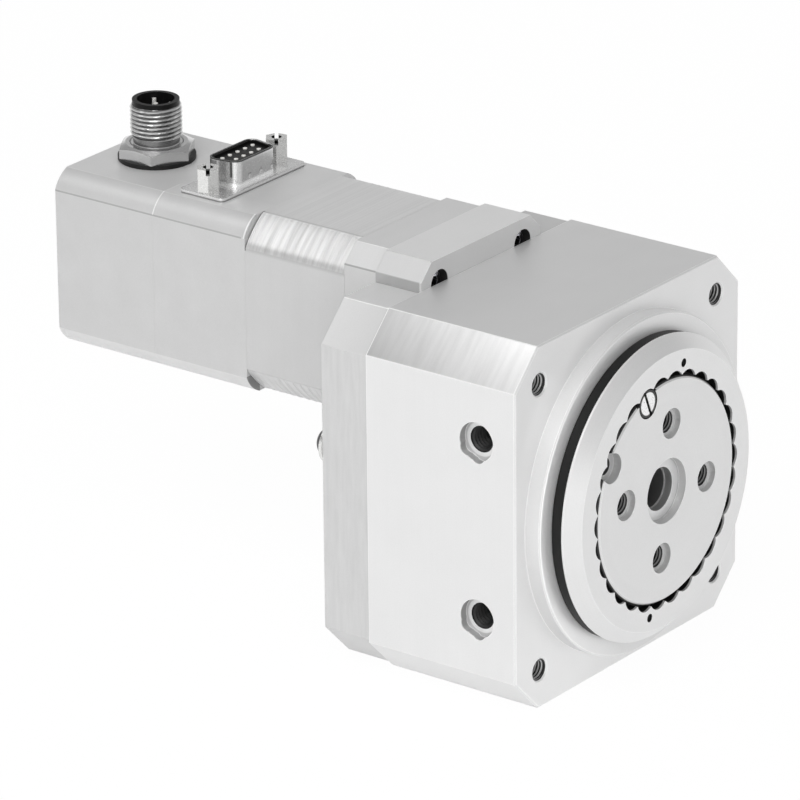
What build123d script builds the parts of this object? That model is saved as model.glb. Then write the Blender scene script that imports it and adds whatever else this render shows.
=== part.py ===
from build123d import *
from math import acos, cos, pi, radians, sin, sqrt, tan
import os

# Rotary actuator: a stepper motor behind a square gear housing drives a hollow rotary plate.
# Millimetres. The output axis runs along Y and the plate faces -Y. The origin is on that axis,
# in the front face of the housing. A clock angle is measured from +Z towards +X.

# General fits
SNUG = 0.03              # radial clearance of a round fit between pieces that don't turn on each other
RUNNING = 0.05           # radial clearance of a shaft that turns in a hole
FREE = 0.3               # gap between pieces that turn past each other without touching
THREAD_GAP = 0.05        # radial gap of a screw in its tapped hole
HOLE_GAP = 0.2           # radial gap of a screw in its through hole
HEAD_GAP = 0.4           # radial gap of a screw head in its counterbore
HEAD_SHARE = 1.83        # head radius of a socket screw for each unit of thread radius
SOCKET_SHARE = 0.98      # corner radius of its hexagon socket, for each unit of thread radius
HEAD_BEVEL_SHARE = 0.1   # chamfer of its head, for each unit of head height
HOLE_RUN = 1.0           # tapped hole left beyond the end of its screw
EDGE_BREAK = 0.4         # chamfer on the outer edges of machined pieces

# Gear train: a motor pinion drives the gear on the rotary plate
GEAR_MODULE = 0.75
PINION_TEETH = 12
GEAR_TEETH = 60
PRESSURE_ANGLE = radians(20)
PROFILE_SHIFT = 0.3      # in modules, added on the pinion and taken off the gear
TOOTH_THINNING = 0.05    # taken off each flank at the pitch circle for backlash
PINION_PITCH_RADIUS = GEAR_MODULE * PINION_TEETH / 2
GEAR_PITCH_RADIUS = GEAR_MODULE * GEAR_TEETH / 2
MOTOR_OFFSET = PINION_PITCH_RADIUS + GEAR_PITCH_RADIUS
PINION_TIP_RADIUS = PINION_PITCH_RADIUS + GEAR_MODULE * (1 + PROFILE_SHIFT)
GEAR_ROOT_RADIUS = GEAR_PITCH_RADIUS - GEAR_MODULE * (1.25 + PROFILE_SHIFT)
GEAR_PLATE_GAP = 2.0     # from the back of the gear to the motor plate

# Gear housing
HOUSING_SIDE = 85.0
HOUSING_DEPTH = 40.0
CORNER_CHAMFER = 8.5
COLLAR_RADIUS = 39.0
COLLAR_HEIGHT = 4.0
POCKET_GAP = 2.0         # from the pinion's tip circle to the wall of the gear pocket
POCKET_RADIUS = MOTOR_OFFSET + PINION_TIP_RADIUS + POCKET_GAP
FRONT_HOLE_INSET = 9.0   # from each side of the housing to its front mounting holes
FRONT_HOLE_RADIUS = 2.5
FRONT_HOLE_DEPTH = 12.0
FRONT_HOLE_MOUTH = 0.35  # countersink on the mounting holes
SIDE_HOLE_RADIUS = 3.0
SIDE_HOLE_DEPTH = 9.0
SIDE_HOLE_PITCH = 41.5
SIDE_HOLE_BACK = 10.3    # from the front face to the side holes
SIDE_RECESS_RADIUS = 4.5
SIDE_RECESS_DEPTH = 2.1
SIDE_LOBE_RADIUS = 1.9
SIDE_LOBE_REACH = 5.0    # from the hole's axis to the far side of each lobe of the recess
SIDE_LOBE_ANGLES = (-37, -96)

# Output bearings, two of the same size
BEARING_BORE = 50.0
BEARING_OUTSIDE = 65.0
BEARING_WIDTH = 7.0
RING_WALL = 2.2          # radial thickness of each bearing ring
BALL_DIAMETER = 4.0
BALL_COUNT = 16
BALL_PLAY = 0.08         # gap between a ball and its grooves
CAGE_THICKNESS = 1.0
CAGE_WIDTH = 5.4
FRONT_BEARING_LEAD = 2.0    # how far the front bearing stands forward of the housing's front face
BEARING_SPREAD = 17.0    # from the front of one bearing to the front of the other
LIP_REACH = 1.3          # how far the collar's lip covers the bearing's outer ring
SPACER_WALL = 1.6
CIRCLIP_THICKNESS = 2.5
CIRCLIP_INSIDE = 59.0
CIRCLIP_GROOVE = 1.2
CIRCLIP_GAP_ANGLE = 24
BEARING_BORE_TAIL = 1.5  # housing bore that runs on behind the circlip

# Rotary plate: the hub with its face disc, and the index ring round it
FACE_REACH = 10.2        # from the housing's front face to the face of the plate
INDEX_RING_RADIUS = 35.0
INDEX_RING_THICKNESS = 3.4
INDEX_RING_BEVEL = 3.0
DISC_RADIUS = 26.0
DISC_EDGE_BREAK = 0.65
DISC_GAP = 0.15          # between the face disc and the index ring round it
SHOULDER_RADIUS = 30.5
NECK_RADIUS = 27.2
LOCK_CIRCLE_RADIUS = 24.0
LOCK_HEAD_RADIUS = 3.2
LOCK_HEAD_THICKNESS = 2.1
LOCK_HEAD_SINK = 0.1
LOCK_POCKET_GAP = 0.25
LOCK_SHANK_RADIUS = 2.0
LOCK_SHANK_LENGTH = 4.5
LOCK_HOLE_RUN = 0.7      # hole left beyond the end of the lock screw
LOCK_SLOT_WIDTH = 0.8
LOCK_SLOT_DEPTH = 1.0
LOCK_SLOT_TURN = -23     # clock angle of the slot
LOCK_SPREAD = 42.0       # between the two lock screw seats, three and a half notches
NOTCH_COUNT = 30
PLATE_CLOCK = 6.5        # clock angle of the plate's threaded holes as it is drawn
INDEX_DOT_RADIUS = 1.0
INDEX_DOT_CIRCLE = 28.9
INDEX_DOT_DEPTH = 0.8
FLANGE_HOLE_COUNT = 4
FLANGE_HOLE_CIRCLE = 31.0
FLANGE_HOLE_RADIUS = 2.5
FLANGE_HOLE_DEPTH = 9.0
FLANGE_RECESS_RADIUS = 3.5
FLANGE_RECESS_DEPTH = 1.6
CENTRE_RECESS_RADIUS = 7.5
CENTRE_RECESS_DEPTH = 2.0
BORE_MOUTH_RADIUS = 5.0
BORE_MOUTH_DEPTH = 2.0
BORE_RADIUS = 4.7
HUB_SPIGOT_RADIUS = 12.0
TAIL_RADIUS = 8.0
TAIL_ENGAGEMENT = 6.0    # how far the hollow tail reaches into the motor plate
SEAL_OUTSIDE = 34.8
SEAL_BODY = 1.5          # axial thickness of the seal's body, its lip left out
SEAL_LIP_GAP = 0.15
SEAL_LIP_WIDTH = 0.7

# Output gear
GEAR_FLANGE_THICKNESS = 3.5
GEAR_NECK_GAP = 2.5      # from the gear's flange to its teeth
GEAR_NECK_RADIUS = 20.0
GEAR_WEB = 8.0           # thickness at the screws
GEAR_RIM = 1.3           # radial thickness under the teeth
GEAR_SCREW_COUNT = 6
GEAR_SCREW_CIRCLE = 34.0
GEAR_SCREW_LENGTH = 16.0
CLAMP_GAP = 0.2          # left between the gear's flange and the hub so that it clamps the bearings

# Motor plate, with the lug that carries the top of the motor
PLATE_DEPTH = 12.5
PLATE_INSET = 0.4
LUG_WIDTH = 44.6
LUG_RISE = 0.2           # above the top of the motor
LUG_CHAMFER = 4.0
PINION_HOLE_GAP = 0.7
PLATE_SCREW_INSET = 11.0 # off the axes of the front holes
PLATE_SCREW_ENGAGEMENT = 11.0
PLATE_SCREW_FLOOR = 6.5  # plate left under each plate screw's head
DOWEL_RADIUS = 1.5
DOWEL_LENGTH = 12.0
DOWEL_INSET = 3.9        # from the housing's side
DOWEL_DROP = 10.0        # below the output axis
MOTOR_SCREW_FLOOR = 8.0  # plate left under each motor screw's head
MOTOR_SCREW_ENGAGEMENT = 4.0
EARTH_SCREW_INSET = 4.5  # from the housing's side
EARTH_SCREW_RISE = 9.0
EARTH_HEAD_RADIUS = 3.8
EARTH_HEAD_HEIGHT = 3.0
EARTH_SOCKET_RADIUS = 1.44
EARTH_SOCKET_DEPTH = 1.5
EARTH_SHANK_RADIUS = 2.0
EARTH_SHANK_LENGTH = 7.0
EARTH_WASHER_RADIUS = 4.6
EARTH_WASHER_THICKNESS = 0.8

# Stepper motor
MOTOR_SIDE = 42.3
MOTOR_CHAMFER = 4.35
CORNER_CROWN = 0.6       # rise of the crowned corners of the rear bell and the cover above a flat chamfer
MOTOR_HOLE_PITCH = 31.0
MOTOR_HOLE_RADIUS = 1.5
FRONT_BELL_LENGTH = 9.5
STACK_LENGTH = 28.0
REAR_BELL_LENGTH = 26.4
COVER_LENGTH = 28.8
PILOT_RADIUS = 11.0
PILOT_HEIGHT = 2.0
STACK_TURN_RADIUS = 25.65
STACK_BORE_RADIUS = 11.3
SLOT_INNER_RADIUS = 12.6
SLOT_OUTER_RADIUS = 18.0
POLE_COUNT = 8
POLE_WIDTH = 4.0
SLOT_MOUTH = 1.6
COIL_THICKNESS = 1.9
COIL_OVERHANG = 3.0
COIL_GAP = 0.3
COIL_HEADROOM = 0.9      # from the outside of the coils to the outside of the slots
COIL_RECESS_INNER = 9.6
COIL_RECESS_OUTER = 19.4
COIL_RECESS_DEPTH = 4.2
SHAFT_RADIUS = 2.5
SHAFT_HOLE_GAP = 1.0
ROTOR_RADIUS = 11.0
ROTOR_CORE_LENGTH = 11.0
ROTOR_MAGNET_LENGTH = 3.0
ROTOR_TEETH = 50
ROTOR_TOOTH_DEPTH = 0.45
ROTOR_LAND = (0.1, 0.5)   # start and end of a tooth's land, as shares of the tooth angle
MOTOR_BEARING_OUTSIDE = 16.0
MOTOR_BEARING_WIDTH = 5.0
MOTOR_RING_WALL = 1.5
MOTOR_BALL_DIAMETER = 2.8
MOTOR_BALL_COUNT = 7
FRONT_BEARING_SEAT = 2.0    # from the mounting face to the motor's front bearing
WAVE_WASHER_THICKNESS = 0.4
BELL_WALL = 2.2
BELL_FLOOR = 6.6         # front wall of the rear bell
TIE_HEAD_ROOM = 11.0     # depth cleared in the corner posts for the heads of the tie screws
COVER_REAR_WALL = 3.0
COVER_POST = 7.0         # side of the square posts in the corners of the bell and the cover
COVER_SCREW_INSET = 4.6
COVER_SCREW_RADIUS = 1.25
COVER_SCREW_ENGAGEMENT = 6.0
COVER_HEAD_SINK = 0.3
ENCODER_DISC_MARGIN = 2.0   # from the edge of the encoder board to the disc's
ENCODER_DISC_THICKNESS = 1.0
ENCODER_DISC_SETBACK = 4.0  # from the rear bell's front wall to the encoder disc
ENCODER_HUB_RADIUS = 5.0
ENCODER_HUB_LENGTH = 3.0
BOARD_THICKNESS = 1.6
BOARD_MARGIN = 8.15      # from each side of the motor to the encoder board
BOARD_SIDE = MOTOR_SIDE - 2 * BOARD_MARGIN
BOARD_CHAMFER = 3.0
BOARD_SETBACK = 9.0      # from the rear bell's front wall to the encoder board
BOARD_SCREW_INSET = 3.0
BOARD_POST_RADIUS = 2.2
BOARD_SCREW_RADIUS = 1.0
BOARD_SCREW_HOLE = 5.0
SENSOR_SIZE = (6.0, 2.6, 5.0)
SENSOR_GAP = 0.5         # from the hub of the encoder disc to the sensor

# Encoder connector, a nine-way plug with a D-shaped shell on the rear bell
PLUG_BACK = 17.0         # from the front of the rear bell to the plug's centre
PLUG_FLANGE_LENGTH = 30.8
PLUG_FLANGE_WIDTH = 12.5
PLUG_FLANGE_THICKNESS = 0.9
PLUG_FLANGE_CORNER = 1.2
PLUG_SHELL_LENGTH = 16.9
PLUG_SHELL_WIDTH = 8.3
PLUG_SHELL_HEIGHT = 5.9
PLUG_SHELL_WALL = 0.5
PLUG_SHELL_SLANT = 10    # degrees that the short sides lean in
PLUG_SHELL_CORNER = 2.2
DIMPLE_RADIUS = 1.0       # of the ball that presses the dimples in the shell's front wall
DIMPLE_DEPTH = 0.25
DIMPLE_SPOTS = (-2.6, 1.5, 5.6)    # along the shell, from its middle
DIMPLE_RISE = 2.6         # above the flange's foot
PLUG_OPENING_GAP = 0.6   # from the shell's outline to the opening under it
PLUG_RIM_SINK = 0.15     # top of the insert's rim below the edge of the shell
PLUG_FACE_SINK = 0.7     # face with the contacts below the edge of the shell
PLUG_RIM_WIDTH = 0.45
PLUG_INSERT_DROP = 6.0
PLUG_PIN_RADIUS = 0.5
PLUG_PIN_PITCH = 2.77
PLUG_PIN_ROW_GAP = 2.84
PLUG_PIN_REACH = 0.25    # tips above the insert's face
PIN_BOARD_GAP = 0.15     # from the ends of the pins to the encoder board
JACKSCREW_PITCH = 25.0
JACKSCREW_ACROSS_FLATS = 4.76
JACKSCREW_HEIGHT = 5.6
JACKSCREW_BORE = 1.2
JACKSCREW_BORE_DEPTH = 3.0
JACKSCREW_SHANK = 1.3
JACKSCREW_SLOT = 0.9
JACKSCREW_SLOT_DEPTH = 1.3
JACKSCREW_TURN = 37

# Motor connector, a round threaded plug on the connector cover
ROUND_PLUG_BACK = 15.6   # from the front of the cover to the plug's axis
THREAD_RADIUS = 6.0
THREAD_LENGTH = 7.4
UNDERCUT_RADIUS = 5.4
UNDERCUT_LENGTH = 1.8
PLUG_SEAL_RADIUS = 9.0
PLUG_SEAL_THICKNESS = 1.0
NUT_ACROSS_FLATS = 16.0
NUT_HEIGHT = 3.0
NUT_BEVEL = 0.9          # height of the conical top at the corners
NUT_CROWN_RADIUS = 7.2   # where the conical top meets the flat one
SLEEVE_INNER_RADIUS = 4.9
SLEEVE_FOOT_RADIUS = 8.0
SLEEVE_FOOT_THICKNESS = 1.5
CORE_RIM_RADIUS = 5.45
CORE_RIM_HEIGHT = 1.1
CORE_CUP_RADIUS = 4.35
CORE_CUP_DEPTH = 7.5
ROUND_PIN_RADIUS = 0.5
ROUND_PIN_CIRCLE = 7.0
ROUND_PIN_COUNT = 4
ROUND_PIN_HEIGHT = 6.3
ROUND_PIN_TAIL = 3.0

# Planes along the axis that several pieces share
COLLAR_FACE = -COLLAR_HEIGHT
PLATE_FACE = -FACE_REACH
RING_BACK = PLATE_FACE + INDEX_RING_THICKNESS
FRONT_BEARING_Y = -FRONT_BEARING_LEAD
REAR_BEARING_Y = FRONT_BEARING_Y + BEARING_SPREAD
CLIP_Y = REAR_BEARING_Y + BEARING_WIDTH
POCKET_Y = CLIP_Y + CIRCLIP_THICKNESS + BEARING_BORE_TAIL
GEAR_Y = CLIP_Y
TEETH_Y = GEAR_Y + GEAR_FLANGE_THICKNESS + GEAR_NECK_GAP
GEAR_END = HOUSING_DEPTH - GEAR_PLATE_GAP
MOTOR_FACE = HOUSING_DEPTH + PLATE_DEPTH
STACK_Y = MOTOR_FACE + FRONT_BELL_LENGTH
REAR_BELL_Y = STACK_Y + STACK_LENGTH
BELL_CAVITY_Y = REAR_BELL_Y + BELL_FLOOR
COVER_Y = REAR_BELL_Y + REAR_BELL_LENGTH
MOTOR_END = COVER_Y + COVER_LENGTH
MOTOR_TOP = MOTOR_OFFSET + MOTOR_SIDE / 2
PLUG_Y = REAR_BELL_Y + PLUG_BACK
ROUND_PLUG_Y = COVER_Y + ROUND_PLUG_BACK
PLUG_EDGE = MOTOR_TOP + PLUG_FLANGE_THICKNESS + PLUG_SHELL_HEIGHT
PLUG_FACE = PLUG_EDGE - PLUG_FACE_SINK

# Ball circles and shares that follow from the sizes above
BALL_CIRCLE_RADIUS = (BEARING_BORE + BEARING_OUTSIDE) / 4
MOTOR_BALL_CIRCLE_RADIUS = (2 * SHAFT_RADIUS + MOTOR_BEARING_OUTSIDE) / 4
NOTCH_ANGLE = 360 / NOTCH_COUNT
RING_CLOCK = PLATE_CLOCK + NOTCH_ANGLE / 2
LOCK_CLOCK = PLATE_CLOCK - 180 / FLANGE_HOLE_COUNT + LOCK_SPREAD / 2
SPARE_CLOCK = LOCK_CLOCK - LOCK_SPREAD


def clock_point(radius, angle, up=0.0):
    """X and Z of a point at a clock angle in degrees round an axis that is up above the origin."""
    return radius * sin(radians(angle)), up + radius * cos(radians(angle))


def rod(radius, start, end, x=0.0, z=0.0):
    """Cylinder along Y from start to end."""
    body = Cylinder(radius, end - start, align=(Align.CENTER, Align.CENTER, Align.MIN))
    return Pos(x, start, z) * Rot(-90, 0, 0) * body


def upright(radius, bottom, top, x=0.0, y=0.0):
    """Cylinder along Z from bottom to top."""
    body = Cylinder(radius, top - bottom, align=(Align.CENTER, Align.CENTER, Align.MIN))
    return Pos(x, y, bottom) * body


def tube(outer, inner, start, end, x=0.0, z=0.0):
    """Plain ring along Y."""
    return rod(outer, start, end, x, z) - rod(inner, start, end, x, z)


def turned(points, z=0.0):
    """Solid of revolution round Y from (radius, y) points."""
    profile = make_face(Polyline(*points, close=True))
    return Pos(0, 0, z) * revolve(profile, Axis.Y, 360)


def slab(sketch, start, end, z=0.0):
    """Extrusion along Y of a sketch drawn with X to the right and Z up."""
    plane = Plane(origin=(0, end, z), x_dir=(1, 0, 0), z_dir=(0, -1, 0))
    return extrude(plane * sketch, amount=end - start)


def chamfered_square(side, cut):
    """Square outline with flat chamfered corners."""
    outline = Rectangle(side, side)
    return chamfer(outline.vertices(), cut)


def crowned_square(side, cut, crown):
    """Square outline with corners cut like flat chamfers that bulge out by crown."""
    flat = side / 2 - cut
    middle = side / 2 - cut / 2 + crown / sqrt(2)
    lines = Curve()
    for turn in range(4):
        arc = ThreePointArc((flat, side / 2), (middle, middle), (side / 2, flat))
        lines += Rot(0, 0, -90 * turn) * (Line((-flat, side / 2), (flat, side / 2)) + arc)
    return make_face(lines)


def group(solids):
    """Separate solids that share one node."""
    return Compound(children=[item.solid() for item in solids])


def corners(pitch, z=0.0):
    """X and Z of the four corners of a square pattern."""
    half = pitch / 2
    return [(x, z + up) for x in (-half, half) for up in (-half, half)]


def socket_screw(thread_radius, length, head_y, x, z, direction):
    """Socket head screw along Y: head_y is under the head, direction is where the shank points."""
    head_radius = HEAD_SHARE * thread_radius
    head_height = 2 * thread_radius
    socket = extrude(RegularPolygon(SOCKET_SHARE * thread_radius, 6), amount=head_height / 2)
    head = Cylinder(head_radius, head_height, align=(Align.CENTER, Align.CENTER, Align.MIN))
    head = chamfer(head.edges().group_by(Axis.Z)[-1], HEAD_BEVEL_SHARE * head_height)
    shank = Cylinder(thread_radius, length, align=(Align.CENTER, Align.CENTER, Align.MAX))
    body = head + shank - Pos(0, 0, head_height / 2) * socket
    return Pos(x, head_y, z) * Rot(90 * direction, 0, 0) * body


def involute(angle):
    """Involute function of a pressure angle in radians."""
    return tan(angle) - angle


def gear_sketch(teeth, shift, first_tooth):
    """Involute gear outline, with X to the right and Z up. first_tooth is a clock angle in degrees."""
    pitch_radius = GEAR_MODULE * teeth / 2
    base_radius = pitch_radius * cos(PRESSURE_ANGLE)
    root_radius = pitch_radius - GEAR_MODULE * (1.25 - shift)
    tip_radius = pitch_radius + GEAR_MODULE * (1 + shift)
    pitch_half = (pi / 2 + 2 * shift * tan(PRESSURE_ANGLE)) / teeth - TOOTH_THINNING / pitch_radius

    def half_angle(radius):
        at = acos(min(1.0, base_radius / radius))
        return pitch_half + involute(PRESSURE_ANGLE) - involute(at)

    start = max(root_radius, base_radius)
    steps = 4
    flank = [start + (tip_radius - start) * i / steps for i in range(steps + 1)]
    if root_radius < base_radius:
        flank.insert(0, root_radius)
    points = []
    for tooth in range(teeth):
        middle = radians(first_tooth) + 2 * pi * tooth / teeth
        rising = [(radius, middle - half_angle(max(radius, base_radius))) for radius in flank]
        falling = [(radius, middle + half_angle(max(radius, base_radius))) for radius in reversed(flank)]
        points += [(radius * sin(angle), radius * cos(angle)) for radius, angle in rising + falling]
    return make_face(Polyline(*points, close=True))


# Gear housing and motor plate

def gear_housing():
    """Square housing with the round collar, the bearing bore and the gear pocket."""
    seat = BEARING_OUTSIDE / 2 + SNUG
    body = slab(chamfered_square(HOUSING_SIDE, CORNER_CHAMFER), 0, HOUSING_DEPTH)
    body = chamfer(body.edges().group_by(Axis.Y)[0], EDGE_BREAK)
    body += turned([(0, COLLAR_FACE), (COLLAR_RADIUS - EDGE_BREAK, COLLAR_FACE),
                    (COLLAR_RADIUS, COLLAR_FACE + EDGE_BREAK), (COLLAR_RADIUS, EDGE_BREAK), (0, EDGE_BREAK)])
    groove_end = CLIP_Y + CIRCLIP_THICKNESS
    lip = BEARING_OUTSIDE / 2 - LIP_REACH
    groove = seat + CIRCLIP_GROOVE
    body -= turned([(0, COLLAR_FACE), (lip, COLLAR_FACE), (lip, FRONT_BEARING_Y), (seat, FRONT_BEARING_Y),
                    (seat, CLIP_Y), (groove, CLIP_Y), (groove, groove_end), (seat, groove_end),
                    (seat, POCKET_Y), (POCKET_RADIUS, POCKET_Y), (POCKET_RADIUS, HOUSING_DEPTH),
                    (0, HOUSING_DEPTH)])
    for x, z in corners(HOUSING_SIDE - 2 * FRONT_HOLE_INSET):
        body -= rod(FRONT_HOLE_RADIUS, 0, FRONT_HOLE_DEPTH, x, z)
        mouth = Cone(FRONT_HOLE_RADIUS + FRONT_HOLE_MOUTH, FRONT_HOLE_RADIUS, FRONT_HOLE_MOUTH,
                     align=(Align.CENTER, Align.CENTER, Align.MIN))
        body -= Pos(x, 0, z) * Rot(-90, 0, 0) * mouth
    plate_hole_start = HOUSING_DEPTH - PLATE_SCREW_ENGAGEMENT - HOLE_RUN
    for x, z in corners(HOUSING_SIDE - 2 * PLATE_SCREW_INSET):
        body -= rod(FRONT_HOLE_RADIUS, plate_hole_start, HOUSING_DEPTH, x, z)
    for x, z in dowel_spots():
        body -= rod(DOWEL_RADIUS + SNUG, HOUSING_DEPTH - DOWEL_LENGTH / 2, HOUSING_DEPTH, x, z)
    for side in (-1, 1):
        for up in (-1, 1):
            body -= side_hole(side, up * SIDE_HOLE_PITCH / 2)
    return body


def side_hole(side, z):
    """Threaded hole in a side face, with its lobed centring recess."""
    depth = SIDE_RECESS_DEPTH + SIDE_HOLE_DEPTH
    recess = Circle(SIDE_RECESS_RADIUS)
    for angle in SIDE_LOBE_ANGLES:
        reach = SIDE_LOBE_REACH - SIDE_LOBE_RADIUS
        recess += Pos(-reach * cos(radians(angle)), reach * sin(radians(angle))) * Circle(SIDE_LOBE_RADIUS)
    hole = extrude(Circle(SIDE_HOLE_RADIUS), amount=-depth) + extrude(recess, amount=-SIDE_RECESS_DEPTH)
    face = Plane(origin=(side * HOUSING_SIDE / 2, SIDE_HOLE_BACK, z), x_dir=(0, side, 0), z_dir=(side, 0, 0))
    if side < 0:
        return face * hole
    return face * mirror(hole, about=Plane.YZ)


def dowel_spots():
    """X and Z of the two locating dowels."""
    return [(side * (HOUSING_SIDE / 2 - DOWEL_INSET), -DOWEL_DROP) for side in (-1, 1)]


def motor_plate():
    """Back plate of the gearbox, with the lug behind the housing's top that carries the motor."""
    outline = chamfered_square(HOUSING_SIDE - 2 * PLATE_INSET, CORNER_CHAMFER)
    lug_height = MOTOR_TOP + LUG_RISE
    lug = Pos(0, lug_height / 2) * Rectangle(LUG_WIDTH, lug_height)
    lug = chamfer(lug.vertices().group_by(Axis.Y)[-1], LUG_CHAMFER)
    body = slab(outline + lug, HOUSING_DEPTH, MOTOR_FACE)
    body -= rod(PILOT_RADIUS + SNUG, MOTOR_FACE - PILOT_HEIGHT, MOTOR_FACE, 0, MOTOR_OFFSET)
    body -= rod(PINION_TIP_RADIUS + PINION_HOLE_GAP, HOUSING_DEPTH, MOTOR_FACE, 0, MOTOR_OFFSET)
    body -= rod(TAIL_RADIUS + FREE, HOUSING_DEPTH, HOUSING_DEPTH + TAIL_ENGAGEMENT + FREE)
    body -= rod(BORE_RADIUS + FREE, HOUSING_DEPTH, MOTOR_FACE)
    motor_screw_seat = MOTOR_FACE - MOTOR_SCREW_FLOOR
    for x, z in corners(MOTOR_HOLE_PITCH, MOTOR_OFFSET):
        body -= rod(MOTOR_HOLE_RADIUS + HOLE_GAP, HOUSING_DEPTH, MOTOR_FACE, x, z)
        body -= rod(HEAD_SHARE * MOTOR_HOLE_RADIUS + HEAD_GAP, HOUSING_DEPTH, motor_screw_seat, x, z)
    plate_screw_seat = HOUSING_DEPTH + PLATE_SCREW_FLOOR
    for x, z in corners(HOUSING_SIDE - 2 * PLATE_SCREW_INSET):
        body -= rod(FRONT_HOLE_RADIUS + HOLE_GAP, HOUSING_DEPTH, MOTOR_FACE, x, z)
        body -= rod(HEAD_SHARE * FRONT_HOLE_RADIUS + HEAD_GAP, plate_screw_seat, MOTOR_FACE, x, z)
    for x, z in dowel_spots():
        body -= rod(DOWEL_RADIUS + SNUG, HOUSING_DEPTH, HOUSING_DEPTH + DOWEL_LENGTH / 2, x, z)
    earth_hole_end = MOTOR_FACE - EARTH_SHANK_LENGTH - HOLE_RUN
    body -= rod(EARTH_SHANK_RADIUS + THREAD_GAP, earth_hole_end, MOTOR_FACE, *earth_spot())
    return body


def earth_spot():
    """X and Z of the earth screw on the back of the motor plate."""
    return -(HOUSING_SIDE / 2 - EARTH_SCREW_INSET), EARTH_SCREW_RISE


def locating_dowels():
    start = HOUSING_DEPTH - DOWEL_LENGTH / 2
    return group([rod(DOWEL_RADIUS, start, start + DOWEL_LENGTH, x, z) for x, z in dowel_spots()])


def plate_screws():
    """Four screws from behind that hold the motor plate on the housing."""
    length = PLATE_SCREW_FLOOR + PLATE_SCREW_ENGAGEMENT
    seat = HOUSING_DEPTH + PLATE_SCREW_FLOOR
    spots = corners(HOUSING_SIDE - 2 * PLATE_SCREW_INSET)
    radius = FRONT_HOLE_RADIUS - THREAD_GAP
    return group([socket_screw(radius, length, seat, x, z, -1) for x, z in spots])


def motor_screws():
    """Four screws from the front of the plate that hold the motor."""
    length = MOTOR_SCREW_FLOOR + MOTOR_SCREW_ENGAGEMENT
    spots = corners(MOTOR_HOLE_PITCH, MOTOR_OFFSET)
    radius = MOTOR_HOLE_RADIUS - THREAD_GAP
    return group([socket_screw(radius, length, MOTOR_FACE - MOTOR_SCREW_FLOOR, x, z, 1) for x, z in spots])


def earth_washer():
    end = MOTOR_FACE + EARTH_WASHER_THICKNESS
    return tube(EARTH_WASHER_RADIUS, EARTH_SHANK_RADIUS + THREAD_GAP, MOTOR_FACE, end, *earth_spot())


def earth_screw():
    """Domed screw on the back of the motor plate."""
    x, z = earth_spot()
    seat = MOTOR_FACE + EARTH_WASHER_THICKNESS
    dome_radius = (EARTH_HEAD_RADIUS ** 2 + EARTH_HEAD_HEIGHT ** 2) / (2 * EARTH_HEAD_HEIGHT)
    dome = Pos(x, seat + EARTH_HEAD_HEIGHT - dome_radius, z) * Sphere(dome_radius)
    dome &= rod(EARTH_HEAD_RADIUS, seat, seat + EARTH_HEAD_HEIGHT, x, z)
    dome += rod(EARTH_SHANK_RADIUS, MOTOR_FACE - EARTH_SHANK_LENGTH, seat, x, z)
    top = seat + EARTH_HEAD_HEIGHT
    socket = slab(RegularPolygon(EARTH_SOCKET_RADIUS, 6), top - EARTH_SOCKET_DEPTH, top)
    return dome - Pos(x, 0, z) * socket


# Ball bearings, for the output and for the motor

def grooved_ring(outside, inside, start, width, ball, circle, z):
    """Bearing ring with a ball groove in the face that meets the ball circle."""
    groove = Pos(0, start + width / 2, z) * Rot(90, 0, 0) * Torus(circle, ball / 2 + BALL_PLAY)
    return tube(outside, inside, start, start + width, 0, z) - groove


def output_outer_ring(start):
    outside = BEARING_OUTSIDE / 2
    return grooved_ring(outside, outside - RING_WALL, start, BEARING_WIDTH, BALL_DIAMETER,
                        BALL_CIRCLE_RADIUS, 0)


def output_inner_ring(start):
    inside = BEARING_BORE / 2
    return grooved_ring(inside + RING_WALL, inside + SNUG, start, BEARING_WIDTH, BALL_DIAMETER,
                        BALL_CIRCLE_RADIUS, 0)


def motor_outer_ring(start):
    outside = MOTOR_BEARING_OUTSIDE / 2
    return grooved_ring(outside, outside - MOTOR_RING_WALL, start, MOTOR_BEARING_WIDTH, MOTOR_BALL_DIAMETER,
                        MOTOR_BALL_CIRCLE_RADIUS, MOTOR_OFFSET)


def motor_inner_ring(start):
    return grooved_ring(SHAFT_RADIUS + MOTOR_RING_WALL, SHAFT_RADIUS + SNUG, start, MOTOR_BEARING_WIDTH,
                        MOTOR_BALL_DIAMETER, MOTOR_BALL_CIRCLE_RADIUS, MOTOR_OFFSET)


def ball_set(ball, circle, count, start, width, z=0.0):
    """Ring of balls."""
    balls = []
    for number in range(count):
        x, up = clock_point(circle, 360 * number / count, z)
        balls.append(Pos(x, start + width / 2, up) * Sphere(ball / 2))
    return balls


def front_bearing_outer_ring():
    return output_outer_ring(FRONT_BEARING_Y)


def rear_bearing_outer_ring():
    return output_outer_ring(REAR_BEARING_Y)


def front_bearing_inner_ring():
    return output_inner_ring(FRONT_BEARING_Y)


def rear_bearing_inner_ring():
    return output_inner_ring(REAR_BEARING_Y)


def output_balls():
    """Balls of both output bearings."""
    return group([ball for start in (FRONT_BEARING_Y, REAR_BEARING_Y)
                  for ball in ball_set(BALL_DIAMETER, BALL_CIRCLE_RADIUS, BALL_COUNT, start, BEARING_WIDTH)])


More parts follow.
